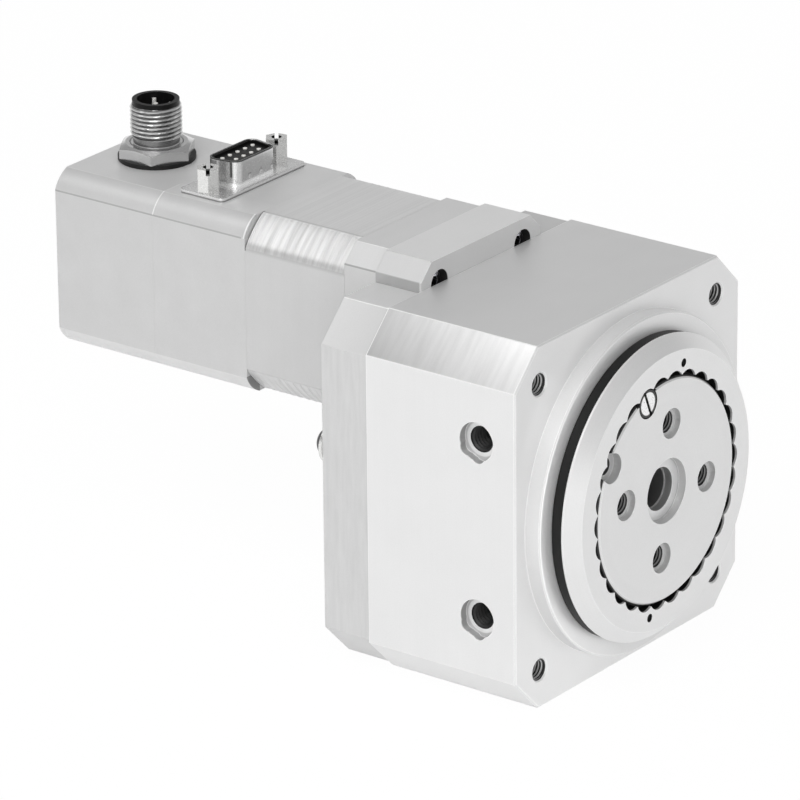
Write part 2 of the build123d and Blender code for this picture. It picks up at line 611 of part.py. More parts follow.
def output_ball_cages():
    """Cages that keep the balls of both output bearings apart."""
    cages = []
    for start in (FRONT_BEARING_Y, REAR_BEARING_Y):
        margin = (BEARING_WIDTH - CAGE_WIDTH) / 2
        cage = tube(BALL_CIRCLE_RADIUS + CAGE_THICKNESS / 2, BALL_CIRCLE_RADIUS - CAGE_THICKNESS / 2,
                    start + margin, start + BEARING_WIDTH - margin)
        for number in range(BALL_COUNT):
            x, z = clock_point(BALL_CIRCLE_RADIUS, 360 * number / BALL_COUNT)
            pocket = Cylinder(BALL_DIAMETER / 2 + RUNNING, 2 * BALL_DIAMETER)
            cage -= Pos(x, start + BEARING_WIDTH / 2, z) * Rot(0, 360 * number / BALL_COUNT, 0) * pocket
        cages.append(cage)
    return group(cages)


def outer_spacer():
    """Sleeve between the outer rings."""
    outside = BEARING_OUTSIDE / 2
    return tube(outside, outside - SPACER_WALL, FRONT_BEARING_Y + BEARING_WIDTH, REAR_BEARING_Y)


def inner_spacer():
    """Sleeve between the inner rings."""
    inside = BEARING_BORE / 2
    return tube(inside + SPACER_WALL, inside + SNUG, FRONT_BEARING_Y + BEARING_WIDTH, REAR_BEARING_Y)


def bearing_circlip():
    """Split ring in the housing's groove that holds the outer rings."""
    outside = BEARING_OUTSIDE / 2 + CIRCLIP_GROOVE - SNUG
    ring = tube(outside, CIRCLIP_INSIDE / 2, CLIP_Y, CLIP_Y + CIRCLIP_THICKNESS)
    half_gap = outside * sin(radians(CIRCLIP_GAP_ANGLE / 2))
    gap = slab(Pos(0, -outside / 2) * Rectangle(2 * half_gap, outside), CLIP_Y, CLIP_Y + CIRCLIP_THICKNESS)
    return ring - gap


# Rotary plate and what turns with it

def rotary_hub():
    """Face disc, shoulder, bearing journal, gear spigot and hollow tail, turned in one piece."""
    shoulder_back = COLLAR_FACE - SEAL_LIP_GAP
    journal_end = GEAR_Y - CLAMP_GAP
    tail_end = HOUSING_DEPTH + TAIL_ENGAGEMENT
    journal = BEARING_BORE / 2
    edge = PLATE_FACE + DISC_EDGE_BREAK
    body = turned([(0, PLATE_FACE), (DISC_RADIUS - DISC_EDGE_BREAK, PLATE_FACE), (DISC_RADIUS, edge),
                   (DISC_RADIUS, RING_BACK), (SHOULDER_RADIUS, RING_BACK), (SHOULDER_RADIUS, shoulder_back),
                   (NECK_RADIUS, shoulder_back), (NECK_RADIUS, FRONT_BEARING_Y), (journal, FRONT_BEARING_Y),
                   (journal, journal_end), (HUB_SPIGOT_RADIUS, journal_end), (HUB_SPIGOT_RADIUS, GEAR_END),
                   (TAIL_RADIUS, GEAR_END), (TAIL_RADIUS, tail_end), (0, tail_end)])
    recess_end = PLATE_FACE + CENTRE_RECESS_DEPTH
    body -= rod(CENTRE_RECESS_RADIUS, PLATE_FACE, recess_end)
    body -= rod(BORE_MOUTH_RADIUS, recess_end, recess_end + BORE_MOUTH_DEPTH)
    body -= rod(BORE_RADIUS, PLATE_FACE, tail_end)
    for number in range(FLANGE_HOLE_COUNT):
        x, z = clock_point(FLANGE_HOLE_CIRCLE / 2, PLATE_CLOCK + 360 * number / FLANGE_HOLE_COUNT)
        body -= rod(FLANGE_RECESS_RADIUS, PLATE_FACE, PLATE_FACE + FLANGE_RECESS_DEPTH, x, z)
        body -= rod(FLANGE_HOLE_RADIUS, PLATE_FACE, PLATE_FACE + FLANGE_HOLE_DEPTH, x, z)
    for angle in (LOCK_CLOCK, SPARE_CLOCK):
        x, z = clock_point(LOCK_CIRCLE_RADIUS, angle)
        seat = PLATE_FACE + LOCK_HEAD_SINK + LOCK_HEAD_THICKNESS
        body -= rod(LOCK_HEAD_RADIUS + LOCK_POCKET_GAP, PLATE_FACE, seat, x, z)
        body -= rod(LOCK_SHANK_RADIUS, PLATE_FACE, seat + LOCK_SHANK_LENGTH + LOCK_HOLE_RUN, x, z)
    for number in range(GEAR_SCREW_COUNT):
        x, z = clock_point(GEAR_SCREW_CIRCLE / 2, 360 * number / GEAR_SCREW_COUNT)
        body -= rod(MOTOR_HOLE_RADIUS, GEAR_Y + GEAR_WEB - GEAR_SCREW_LENGTH - HOLE_RUN, journal_end, x, z)
    return body


def index_ring():
    """Bevelled ring round the face disc, with the row of notches that the lock screw engages."""
    bevel_end = PLATE_FACE + INDEX_RING_BEVEL
    inside = DISC_RADIUS + DISC_GAP
    body = turned([(inside, PLATE_FACE), (INDEX_RING_RADIUS - INDEX_RING_BEVEL, PLATE_FACE),
                   (INDEX_RING_RADIUS, bevel_end), (INDEX_RING_RADIUS, RING_BACK), (inside, RING_BACK)])
    notches = Sketch()
    for number in range(NOTCH_COUNT):
        x, z = clock_point(LOCK_CIRCLE_RADIUS, LOCK_CLOCK + NOTCH_ANGLE * number)
        notches += Pos(x, z) * Circle(LOCK_HEAD_RADIUS + LOCK_POCKET_GAP)
    body -= slab(notches, PLATE_FACE, PLATE_FACE + LOCK_HEAD_SINK + LOCK_HEAD_THICKNESS)
    for angle in (RING_CLOCK, RING_CLOCK + 180):
        x, z = clock_point(INDEX_DOT_CIRCLE, angle)
        body -= rod(INDEX_DOT_RADIUS, PLATE_FACE, PLATE_FACE + INDEX_DOT_DEPTH, x, z)
    return body


def lock_screw():
    """Slotted screw whose head keys the index ring to the face disc."""
    x, z = clock_point(LOCK_CIRCLE_RADIUS, LOCK_CLOCK)
    top = PLATE_FACE + LOCK_HEAD_SINK
    seat = top + LOCK_HEAD_THICKNESS
    screw = rod(LOCK_HEAD_RADIUS, top, seat, x, z)
    screw += rod(LOCK_SHANK_RADIUS - THREAD_GAP, seat, seat + LOCK_SHANK_LENGTH, x, z)
    slot = slab(Rectangle(LOCK_SLOT_WIDTH, 2 * LOCK_HEAD_RADIUS), top, top + LOCK_SLOT_DEPTH)
    return screw - Pos(x, 0, z) * Rot(0, LOCK_SLOT_TURN, 0) * slot


def face_seal():
    """Rubber ring behind the index ring, with a lip towards the collar."""
    lip = COLLAR_FACE - SEAL_LIP_GAP
    inside = SHOULDER_RADIUS + SNUG
    neck = RING_BACK + SEAL_BODY
    lip_inside = SEAL_OUTSIDE - SEAL_LIP_WIDTH
    return turned([(inside, RING_BACK), (SEAL_OUTSIDE, RING_BACK), (SEAL_OUTSIDE, lip), (lip_inside, lip),
                   (lip_inside - SEAL_LIP_WIDTH, neck), (inside, neck)])


def output_gear():
    """Gear with the flange that clamps the bearings and a hollow back for the screw heads."""
    flange = BEARING_BORE / 2 + RING_WALL
    flange_end = GEAR_Y + GEAR_FLANGE_THICKNESS
    gear = slab(gear_sketch(GEAR_TEETH, -PROFILE_SHIFT, 180 / GEAR_TEETH), TEETH_Y, GEAR_END)
    gear += turned([(0, GEAR_Y), (flange, GEAR_Y), (flange, flange_end), (GEAR_NECK_RADIUS, flange_end),
                    (GEAR_NECK_RADIUS, TEETH_Y), (0, TEETH_Y)])
    head_reach = HEAD_SHARE * MOTOR_HOLE_RADIUS + HEAD_GAP
    inner = GEAR_SCREW_CIRCLE / 2 - head_reach
    gear -= tube(GEAR_ROOT_RADIUS - GEAR_RIM, inner, GEAR_Y + GEAR_WEB, GEAR_END)
    gear -= rod(HUB_SPIGOT_RADIUS + SNUG, GEAR_Y, GEAR_END)
    for number in range(GEAR_SCREW_COUNT):
        x, z = clock_point(GEAR_SCREW_CIRCLE / 2, 360 * number / GEAR_SCREW_COUNT)
        gear -= rod(MOTOR_HOLE_RADIUS + HOLE_GAP, GEAR_Y, GEAR_Y + GEAR_WEB, x, z)
    return gear


def gear_screws():
    screws = []
    for number in range(GEAR_SCREW_COUNT):
        x, z = clock_point(GEAR_SCREW_CIRCLE / 2, 360 * number / GEAR_SCREW_COUNT)
        radius = MOTOR_HOLE_RADIUS - THREAD_GAP
        screws.append(socket_screw(radius, GEAR_SCREW_LENGTH, GEAR_Y + GEAR_WEB, x, z, -1))
    return group(screws)


# Motor: what turns

def pinion():
    sketch = gear_sketch(PINION_TEETH, PROFILE_SHIFT, 0) - Circle(SHAFT_RADIUS + SNUG)
    return slab(sketch, TEETH_Y, GEAR_END, MOTOR_OFFSET)


def disc_start():
    """Front of the encoder disc."""
    return BELL_CAVITY_Y + ENCODER_DISC_SETBACK


def motor_shaft():
    end = disc_start() + ENCODER_HUB_LENGTH
    shaft = rod(SHAFT_RADIUS, TEETH_Y, end, 0, MOTOR_OFFSET)
    return chamfer(shaft.edges().group_by(Axis.Y)[0], EDGE_BREAK)


def rotor_cores():
    """Two toothed rotor discs, half a tooth apart, on either side of the magnet."""
    middle = STACK_Y + STACK_LENGTH / 2
    tooth_angle = 360 / ROTOR_TEETH
    rise, fall = ROTOR_LAND
    root = ROTOR_RADIUS - ROTOR_TOOTH_DEPTH
    profile = ((root, 0), (ROTOR_RADIUS, rise), (ROTOR_RADIUS, fall), (root, rise + fall))
    cores = []
    for side in (-1, 1):
        points = []
        for tooth in range(ROTOR_TEETH):
            start = tooth_angle * (tooth + (side + 1) / 4)
            points += [clock_point(radius, start + tooth_angle * share) for radius, share in profile]
        sketch = make_face(Polyline(*points, close=True)) - Circle(SHAFT_RADIUS + SNUG)
        near = side * ROTOR_MAGNET_LENGTH / 2
        far = side * (ROTOR_MAGNET_LENGTH / 2 + ROTOR_CORE_LENGTH)
        cores.append(slab(sketch, middle + min(near, far), middle + max(near, far), MOTOR_OFFSET))
    return group(cores)


def rotor_magnet():
    middle = STACK_Y + STACK_LENGTH / 2
    half = ROTOR_MAGNET_LENGTH / 2
    outside = ROTOR_RADIUS - 2 * ROTOR_TOOTH_DEPTH
    return tube(outside, SHAFT_RADIUS + SNUG, middle - half, middle + half, 0, MOTOR_OFFSET)


def encoder_disc():
    """Code disc on its hub at the rear end of the shaft."""
    start = disc_start()
    disc = rod(BOARD_SIDE / 2 - ENCODER_DISC_MARGIN, start, start + ENCODER_DISC_THICKNESS, 0, MOTOR_OFFSET)
    disc += rod(ENCODER_HUB_RADIUS, start, start + ENCODER_HUB_LENGTH, 0, MOTOR_OFFSET)
    return disc - rod(SHAFT_RADIUS + SNUG, start, start + ENCODER_HUB_LENGTH, 0, MOTOR_OFFSET)


def motor_bearing_starts():
    """Front of the motor's front and rear bearings."""
    return MOTOR_FACE + FRONT_BEARING_SEAT, REAR_BELL_Y


def motor_bearing_inner_rings():
    return group([motor_inner_ring(start) for start in motor_bearing_starts()])


def motor_balls():
    balls = []
    for start in motor_bearing_starts():
        balls += ball_set(MOTOR_BALL_DIAMETER, MOTOR_BALL_CIRCLE_RADIUS, MOTOR_BALL_COUNT, start,
                          MOTOR_BEARING_WIDTH, MOTOR_OFFSET)
    return group(balls)


# Motor: what stands still

def motor_front_bearing_outer_ring():
    return motor_outer_ring(motor_bearing_starts()[0])


def motor_rear_bearing_outer_ring():
    return motor_outer_ring(motor_bearing_starts()[1])


def preload_washer():
    """Spring washer behind the rear bearing."""
    start = REAR_BELL_Y + MOTOR_BEARING_WIDTH
    outside = MOTOR_BEARING_OUTSIDE / 2 - SNUG
    return tube(outside, outside - MOTOR_RING_WALL, start, start + WAVE_WASHER_THICKNESS, 0, MOTOR_OFFSET)


def motor_front_bell():
    """Front end of the motor, with its pilot, bearing seat and four tapped corner holes."""
    body = slab(chamfered_square(MOTOR_SIDE, MOTOR_CHAMFER), MOTOR_FACE, STACK_Y, MOTOR_OFFSET)
    body += rod(PILOT_RADIUS, MOTOR_FACE - PILOT_HEIGHT, MOTOR_FACE, 0, MOTOR_OFFSET)
    body -= rod(SHAFT_RADIUS + SHAFT_HOLE_GAP, MOTOR_FACE - PILOT_HEIGHT, STACK_Y, 0, MOTOR_OFFSET)
    seat = MOTOR_FACE + FRONT_BEARING_SEAT
    body -= rod(MOTOR_BEARING_OUTSIDE / 2 + SNUG, seat, STACK_Y, 0, MOTOR_OFFSET)
    body -= tube(COIL_RECESS_OUTER, COIL_RECESS_INNER, STACK_Y - COIL_RECESS_DEPTH, STACK_Y, 0, MOTOR_OFFSET)
    for x, z in corners(MOTOR_HOLE_PITCH, MOTOR_OFFSET):
        body -= rod(MOTOR_HOLE_RADIUS, MOTOR_FACE, STACK_Y, x, z)
    return body


def stator_stack():
    """Laminated stack: a square with turned corners, eight poles and a round bore."""
    outline = Rectangle(MOTOR_SIDE, MOTOR_SIDE) & Circle(STACK_TURN_RADIUS)
    slots = Circle(SLOT_OUTER_RADIUS) - Circle(SLOT_INNER_RADIUS)
    for number in range(POLE_COUNT // 2):
        slots -= Rot(0, 0, 360 * number / POLE_COUNT) * Rectangle(POLE_WIDTH, 2 * SLOT_OUTER_RADIUS + 1)
    outline -= slots
    outline -= Circle(STACK_BORE_RADIUS)
    for number in range(POLE_COUNT // 2):
        mouth = Rectangle(SLOT_MOUTH, 2 * SLOT_INNER_RADIUS + 1)
        outline -= Rot(0, 0, 360 * (number + 0.5) / POLE_COUNT) * mouth
    for x, z in corners(MOTOR_HOLE_PITCH):
        outline -= Pos(x, z) * Circle(MOTOR_HOLE_RADIUS + HOLE_GAP)
    return slab(outline, STACK_Y, REAR_BELL_Y, MOTOR_OFFSET)


def stator_windings():
    """One coil round each pole."""
    bottom = SLOT_INNER_RADIUS + COIL_GAP
    height = SLOT_OUTER_RADIUS - bottom - COIL_HEADROOM
    inner_width = POLE_WIDTH + 2 * COIL_GAP
    outer_width = inner_width + 2 * COIL_THICKNESS
    inner_length = STACK_LENGTH + 2 * COIL_GAP
    outer_length = STACK_LENGTH + 2 * COIL_OVERHANG
    coil = Box(outer_width, outer_length, height) - Box(inner_width, inner_length, height)
    coil = Pos(0, STACK_Y + STACK_LENGTH / 2, bottom + height / 2) * coil
    return group([Pos(0, 0, MOTOR_OFFSET) * Rot(0, 360 * number / POLE_COUNT, 0) * coil
                  for number in range(POLE_COUNT)])


def shell_sketch():
    """Section of the hollow bells: the wall, and a post in each corner for the cover screws."""
    inside = chamfered_square(MOTOR_SIDE - 2 * BELL_WALL, MOTOR_CHAMFER)
    for x, z in corners(MOTOR_SIDE - COVER_POST):
        inside -= Pos(x, z) * Rectangle(COVER_POST, COVER_POST)
    return inside


def motor_rear_bell():
    """Rear end of the motor: bearing seat, encoder chamber and the seat of the encoder connector."""
    body = slab(crowned_square(MOTOR_SIDE, MOTOR_CHAMFER, CORNER_CROWN), REAR_BELL_Y, COVER_Y, MOTOR_OFFSET)
    body -= slab(shell_sketch(), BELL_CAVITY_Y, COVER_Y, MOTOR_OFFSET)
    recess_end = REAR_BELL_Y + COIL_RECESS_DEPTH
    body -= tube(COIL_RECESS_OUTER, COIL_RECESS_INNER, REAR_BELL_Y, recess_end, 0, MOTOR_OFFSET)
    seat_end = REAR_BELL_Y + MOTOR_BEARING_WIDTH + WAVE_WASHER_THICKNESS
    body -= rod(MOTOR_BEARING_OUTSIDE / 2 + SNUG, REAR_BELL_Y, seat_end, 0, MOTOR_OFFSET)
    body -= rod(SHAFT_RADIUS + SHAFT_HOLE_GAP, REAR_BELL_Y, BELL_CAVITY_Y, 0, MOTOR_OFFSET)
    tie_head_end = BELL_CAVITY_Y + TIE_HEAD_ROOM
    for x, z in corners(MOTOR_HOLE_PITCH, MOTOR_OFFSET):
        body -= rod(MOTOR_HOLE_RADIUS + HOLE_GAP, REAR_BELL_Y, BELL_CAVITY_Y, x, z)
        body -= rod(HEAD_SHARE * MOTOR_HOLE_RADIUS + HEAD_GAP, BELL_CAVITY_Y, tie_head_end, x, z)
    board_front = BELL_CAVITY_Y + BOARD_SETBACK
    for x, z in board_spots():
        body += rod(BOARD_POST_RADIUS, BELL_CAVITY_Y, board_front, x, z)
        body -= rod(BOARD_SCREW_RADIUS, board_front - BOARD_SCREW_HOLE, board_front, x, z)
    for x, z in cover_screw_spots():
        body -= rod(COVER_SCREW_RADIUS, COVER_Y - COVER_SCREW_ENGAGEMENT - HOLE_RUN, COVER_Y, x, z)
    opening = d_outline(PLUG_OPENING_GAP)
    body -= Pos(0, PLUG_Y, MOTOR_TOP - 2 * BELL_WALL) * extrude(opening, amount=2 * BELL_WALL)
    for side in (-1, 1):
        body -= upright(JACKSCREW_SHANK + THREAD_GAP, MOTOR_TOP - 2 * BELL_WALL, MOTOR_TOP,
                        side * JACKSCREW_PITCH / 2, PLUG_Y)
    return body


def board_spots():
    """X and Z of the two posts that carry the encoder board."""
    half = BOARD_SIDE / 2 - BOARD_SCREW_INSET
    return [(-half, MOTOR_OFFSET - half), (half, MOTOR_OFFSET - half)]


def cover_screw_spots():
    """X and Z of the four screws of the connector cover."""
    return corners(MOTOR_SIDE - 2 * COVER_SCREW_INSET, MOTOR_OFFSET)


def tie_screws():
    """Four long screws through the stack into the front bell."""
    length = BELL_CAVITY_Y - STACK_Y + MOTOR_SCREW_ENGAGEMENT
    spots = corners(MOTOR_HOLE_PITCH, MOTOR_OFFSET)
    radius = MOTOR_HOLE_RADIUS - THREAD_GAP
    return group([socket_screw(radius, length, BELL_CAVITY_Y, x, z, -1) for x, z in spots])


def encoder_board():
    """Circuit board behind the code disc."""
    start = BELL_CAVITY_Y + BOARD_SETBACK
    body = slab(chamfered_square(BOARD_SIDE, BOARD_CHAMFER), start, start + BOARD_THICKNESS, MOTOR_OFFSET)
    for x, z in board_spots():
        body -= rod(BOARD_SCREW_RADIUS + HOLE_GAP, start, start + BOARD_THICKNESS, x, z)
    return body


def encoder_sensor():
    """Read head on the board, facing the code disc."""
    width, depth, height = SENSOR_SIZE
    end = BELL_CAVITY_Y + BOARD_SETBACK
    rise = ENCODER_HUB_RADIUS + SENSOR_GAP + height / 2
    return Pos(0, end - depth / 2, MOTOR_OFFSET + rise) * Box(width, depth, height)


def board_screws():
    start = BELL_CAVITY_Y + BOARD_SETBACK + BOARD_THICKNESS
    radius = BOARD_SCREW_RADIUS - THREAD_GAP
    length = BOARD_THICKNESS + BOARD_SCREW_HOLE - HOLE_RUN
    return group([socket_screw(radius, length, start, x, z, -1) for x, z in board_spots()])


def connector_cover():
    """Rear cover of the motor, which carries the round connector."""
    body = slab(crowned_square(MOTOR_SIDE, MOTOR_CHAMFER, CORNER_CROWN), COVER_Y, MOTOR_END, MOTOR_OFFSET)
    body = chamfer(body.edges().group_by(Axis.Y)[-1], EDGE_BREAK)
    body -= slab(shell_sketch(), COVER_Y, MOTOR_END - COVER_REAR_WALL, MOTOR_OFFSET)
    head = HEAD_SHARE * COVER_SCREW_RADIUS + HEAD_GAP
    for x, z in cover_screw_spots():
        body -= rod(COVER_SCREW_RADIUS + HOLE_GAP, COVER_Y, MOTOR_END, x, z)
        body -= rod(head, cover_head_seat(), MOTOR_END, x, z)
    body -= upright(THREAD_RADIUS + HOLE_GAP, MOTOR_TOP - 2 * BELL_WALL, MOTOR_TOP, 0, ROUND_PLUG_Y)
    return body


def cover_head_seat():
    """Plane under the heads of the cover screws."""
    return MOTOR_END - COVER_HEAD_SINK - 2 * COVER_SCREW_RADIUS


def cover_screws():
    length = cover_head_seat() - COVER_Y + COVER_SCREW_ENGAGEMENT
    radius = COVER_SCREW_RADIUS - THREAD_GAP
    return group([socket_screw(radius, length, cover_head_seat(), x, z, -1) for x, z in cover_screw_spots()])


# Encoder connector

def d_outline(grow):
    """D-shaped outline with rounded corners, wide side towards the rear, grown all round."""
    half_width = PLUG_SHELL_WIDTH / 2 + grow
    slant = 2 * half_width * tan(radians(PLUG_SHELL_SLANT))
    wide = PLUG_SHELL_LENGTH / 2 + grow
    shape = Polygon((-wide + slant, -half_width), (wide - slant, -half_width), (wide, half_width),
                    (-wide, half_width), align=None)
    return fillet(shape.vertices(), PLUG_SHELL_CORNER + grow)


def encoder_plug_shell():
    """Sheet metal flange with the D-shaped shell."""
    flange = RectangleRounded(PLUG_FLANGE_LENGTH, PLUG_FLANGE_WIDTH, PLUG_FLANGE_CORNER)
    body = extrude(flange, amount=PLUG_FLANGE_THICKNESS)
    body += extrude(d_outline(0), amount=PLUG_FLANGE_THICKNESS + PLUG_SHELL_HEIGHT)
    body -= extrude(d_outline(-PLUG_SHELL_WALL), amount=PLUG_FLANGE_THICKNESS + PLUG_SHELL_HEIGHT)
    for side in (-1, 1):
        body -= upright(JACKSCREW_SHANK + HOLE_GAP, 0, PLUG_FLANGE_THICKNESS, side * JACKSCREW_PITCH / 2)
    for x in DIMPLE_SPOTS:
        y = DIMPLE_DEPTH - DIMPLE_RADIUS - PLUG_SHELL_WIDTH / 2
        body -= Pos(x, y, DIMPLE_RISE) * Sphere(DIMPLE_RADIUS)
    return Pos(0, PLUG_Y, MOTOR_TOP) * body


def encoder_plug_insert():
    """Moulded block with a raised rim, which carries the nine pins."""
    grow = -PLUG_SHELL_WALL - SNUG
    floor = MOTOR_TOP - PLUG_INSERT_DROP
    rim = PLUG_EDGE - PLUG_RIM_SINK
    body = Pos(0, PLUG_Y, floor) * extrude(d_outline(grow), amount=rim - floor)
    body -= Pos(0, PLUG_Y, PLUG_FACE) * extrude(d_outline(grow - PLUG_RIM_WIDTH), amount=rim - PLUG_FACE)
    for x, y in plug_pin_spots():
        body -= upright(PLUG_PIN_RADIUS + SNUG, floor, PLUG_FACE, x, y)
    return body


def plug_pin_spots():
    """X and Y of the pins, five in the rear row and four in the front row."""
    spots = []
    for count, side in ((5, 1), (4, -1)):
        for number in range(count):
            x = (number - (count - 1) / 2) * PLUG_PIN_PITCH
            spots.append((x, PLUG_Y + side * PLUG_PIN_ROW_GAP / 2))
    return spots


def encoder_plug_pins():
    bottom = MOTOR_OFFSET + BOARD_SIDE / 2 + PIN_BOARD_GAP
    top = PLUG_FACE + PLUG_PIN_REACH
    return group([upright(PLUG_PIN_RADIUS, bottom, top, x, y) for x, y in plug_pin_spots()])


def jackscrews():
    """Slotted hexagon posts at both ends of the encoder connector."""
    bottom = MOTOR_TOP + PLUG_FLANGE_THICKNESS
    hexagon = RegularPolygon(JACKSCREW_ACROSS_FLATS / 2, 6, major_radius=False)
    posts = []
    for side in (-1, 1):
        post = extrude(hexagon, amount=JACKSCREW_HEIGHT)
        post -= upright(JACKSCREW_BORE, JACKSCREW_HEIGHT - JACKSCREW_BORE_DEPTH, JACKSCREW_HEIGHT)
        slot = Box(2 * JACKSCREW_ACROSS_FLATS, JACKSCREW_SLOT, JACKSCREW_SLOT_DEPTH)
        post -= Pos(0, 0, JACKSCREW_HEIGHT - JACKSCREW_SLOT_DEPTH / 2) * slot
        post = Rot(0, 0, JACKSCREW_TURN) * post
        post += upright(JACKSCREW_SHANK, -PLUG_FLANGE_THICKNESS - BELL_WALL, 0)
        posts.append(Pos(side * JACKSCREW_PITCH / 2, PLUG_Y, bottom) * post)
    return group(posts)


# Motor connector

def round_plug_levels():
    """Heights of the nut's seat, the thread's start and the thread's top."""
    nut = MOTOR_TOP + PLUG_SEAL_THICKNESS
    start = nut + NUT_HEIGHT + UNDERCUT_LENGTH
    return nut, start, start + THREAD_LENGTH


def motor_plug_seal():
    ring = upright(PLUG_SEAL_RADIUS, MOTOR_TOP, MOTOR_TOP + PLUG_SEAL_THICKNESS)
    ring -= upright(THREAD_RADIUS + HOLE_GAP, MOTOR_TOP, MOTOR_TOP + PLUG_SEAL_THICKNESS)
    return Pos(0, ROUND_PLUG_Y, 0) * ring


def motor_plug_nut():
    """Hexagon nut with a conical top."""
    hexagon = RegularPolygon(NUT_ACROSS_FLATS / 2, 6, major_radius=False)
    body = extrude(Rot(0, 0, 30) * hexagon, amount=NUT_HEIGHT)
    slope = (NUT_ACROSS_FLATS / sqrt(3) - NUT_CROWN_RADIUS) / NUT_BEVEL
    cone_foot = NUT_CROWN_RADIUS + slope * NUT_HEIGHT
    body &= Cone(cone_foot, NUT_CROWN_RADIUS, NUT_HEIGHT, align=(Align.CENTER, Align.CENTER, Align.MIN))
    body -= upright(THREAD_RADIUS + HOLE_GAP, 0, NUT_HEIGHT)
    return Pos(0, ROUND_PLUG_Y, round_plug_levels()[0]) * body


def motor_plug_sleeve():
    """Threaded metal sleeve with a foot under the cover's wall."""
    _, start, top = round_plug_levels()
    ceiling = MOTOR_TOP - BELL_WALL
    foot = ceiling - SLEEVE_FOOT_THICKNESS
    undercut = start - UNDERCUT_LENGTH
    outline = Polyline((SLEEVE_INNER_RADIUS, foot), (SLEEVE_FOOT_RADIUS, foot),
                       (SLEEVE_FOOT_RADIUS, ceiling), (THREAD_RADIUS, ceiling),
                       (THREAD_RADIUS, undercut), (UNDERCUT_RADIUS, undercut),
                       (UNDERCUT_RADIUS, start), (THREAD_RADIUS, start), (THREAD_RADIUS, top - EDGE_BREAK),
                       (THREAD_RADIUS - EDGE_BREAK, top), (SLEEVE_INNER_RADIUS, top), close=True)
    return Pos(0, ROUND_PLUG_Y, 0) * revolve(make_face(Plane.XZ * outline), Axis.Z, 360)


def motor_plug_core():
    """Moulded core with the cup that takes the mating plug."""
    foot = MOTOR_TOP - BELL_WALL - SLEEVE_FOOT_THICKNESS
    top = round_plug_levels()[2]
    body = upright(SLEEVE_INNER_RADIUS - SNUG, foot, top)
    body += upright(CORE_RIM_RADIUS, top, top + CORE_RIM_HEIGHT)
    body -= upright(CORE_CUP_RADIUS, top + CORE_RIM_HEIGHT - CORE_CUP_DEPTH, top + CORE_RIM_HEIGHT)
    for x, y in round_pin_spots():
        body -= upright(ROUND_PIN_RADIUS + SNUG, foot, top, x, y)
    return Pos(0, ROUND_PLUG_Y, 0) * body


def round_pin_spots():
    """X and Y of the pins, one in the middle and the rest on a circle."""
    spots = [(0.0, 0.0)]
    for number in range(ROUND_PIN_COUNT):
        spots.append(clock_point(ROUND_PIN_CIRCLE / 2, 360 * (number + 0.5) / ROUND_PIN_COUNT))
    return spots


def motor_plug_pins():
    floor = round_plug_levels()[2] + CORE_RIM_HEIGHT - CORE_CUP_DEPTH
    bottom = MOTOR_TOP - BELL_WALL - SLEEVE_FOOT_THICKNESS - ROUND_PIN_TAIL
    return group([upright(ROUND_PIN_RADIUS, bottom, floor + ROUND_PIN_HEIGHT, x, y + ROUND_PLUG_Y)
                  for x, y in round_pin_spots()])


NODES = [
    gear_housing, motor_plate, locating_dowels, plate_screws, motor_screws, earth_washer, earth_screw,
    front_bearing_outer_ring, rear_bearing_outer_ring, outer_spacer, bearing_circlip,
    motor_front_bell, stator_stack, stator_windings, motor_rear_bell, tie_screws,
    motor_front_bearing_outer_ring, motor_rear_bearing_outer_ring, preload_washer,
    encoder_board, encoder_sensor, board_screws, connector_cover, cover_screws,
    encoder_plug_shell, encoder_plug_insert, encoder_plug_pins, jackscrews,
    motor_plug_seal, motor_plug_nut, motor_plug_sleeve, motor_plug_core, motor_plug_pins,
    rotary_hub, index_ring, lock_screw, face_seal, front_bearing_inner_ring, rear_bearing_inner_ring,
    inner_spacer, output_gear, gear_screws,
    motor_shaft, pinion, rotor_cores, rotor_magnet, encoder_disc, motor_bearing_inner_rings,
    output_balls, output_ball_cages, motor_balls,
]

os.makedirs("parts", exist_ok=True)
for make in NODES:
    export_step(make(), f"parts/{make.__name__}.step")
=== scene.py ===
"""Looks of the rotary actuator: finishes, machined detail, a plain studio and the camera.

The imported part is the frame. It is in metres, +Z is up, the output axis runs along Y and the rotary
plate faces -Y. Sizes below are in millimetres and are turned into metres where a mesh is made.
"""

import logging
import math
from dataclasses import dataclass
from enum import Enum
from functools import cache, reduce

import bpy
import numpy as np
from mathutils import Matrix, Vector


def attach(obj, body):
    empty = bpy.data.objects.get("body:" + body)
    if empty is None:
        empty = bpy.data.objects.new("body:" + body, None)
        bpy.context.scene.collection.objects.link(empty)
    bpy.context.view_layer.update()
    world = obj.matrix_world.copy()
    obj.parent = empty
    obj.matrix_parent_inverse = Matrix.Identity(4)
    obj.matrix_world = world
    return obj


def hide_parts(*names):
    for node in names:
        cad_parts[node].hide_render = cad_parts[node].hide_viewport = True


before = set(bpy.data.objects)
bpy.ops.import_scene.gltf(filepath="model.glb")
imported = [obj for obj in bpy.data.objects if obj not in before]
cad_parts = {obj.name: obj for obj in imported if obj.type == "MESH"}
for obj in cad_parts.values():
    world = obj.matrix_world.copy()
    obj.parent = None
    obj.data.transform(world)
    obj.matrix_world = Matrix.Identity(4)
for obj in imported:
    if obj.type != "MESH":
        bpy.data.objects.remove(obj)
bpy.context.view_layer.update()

MM = 0.001
WHITE = (1, 1, 1, 1)
HOUSING = "housing_and_motor"
PLATE = "rotary_plate"

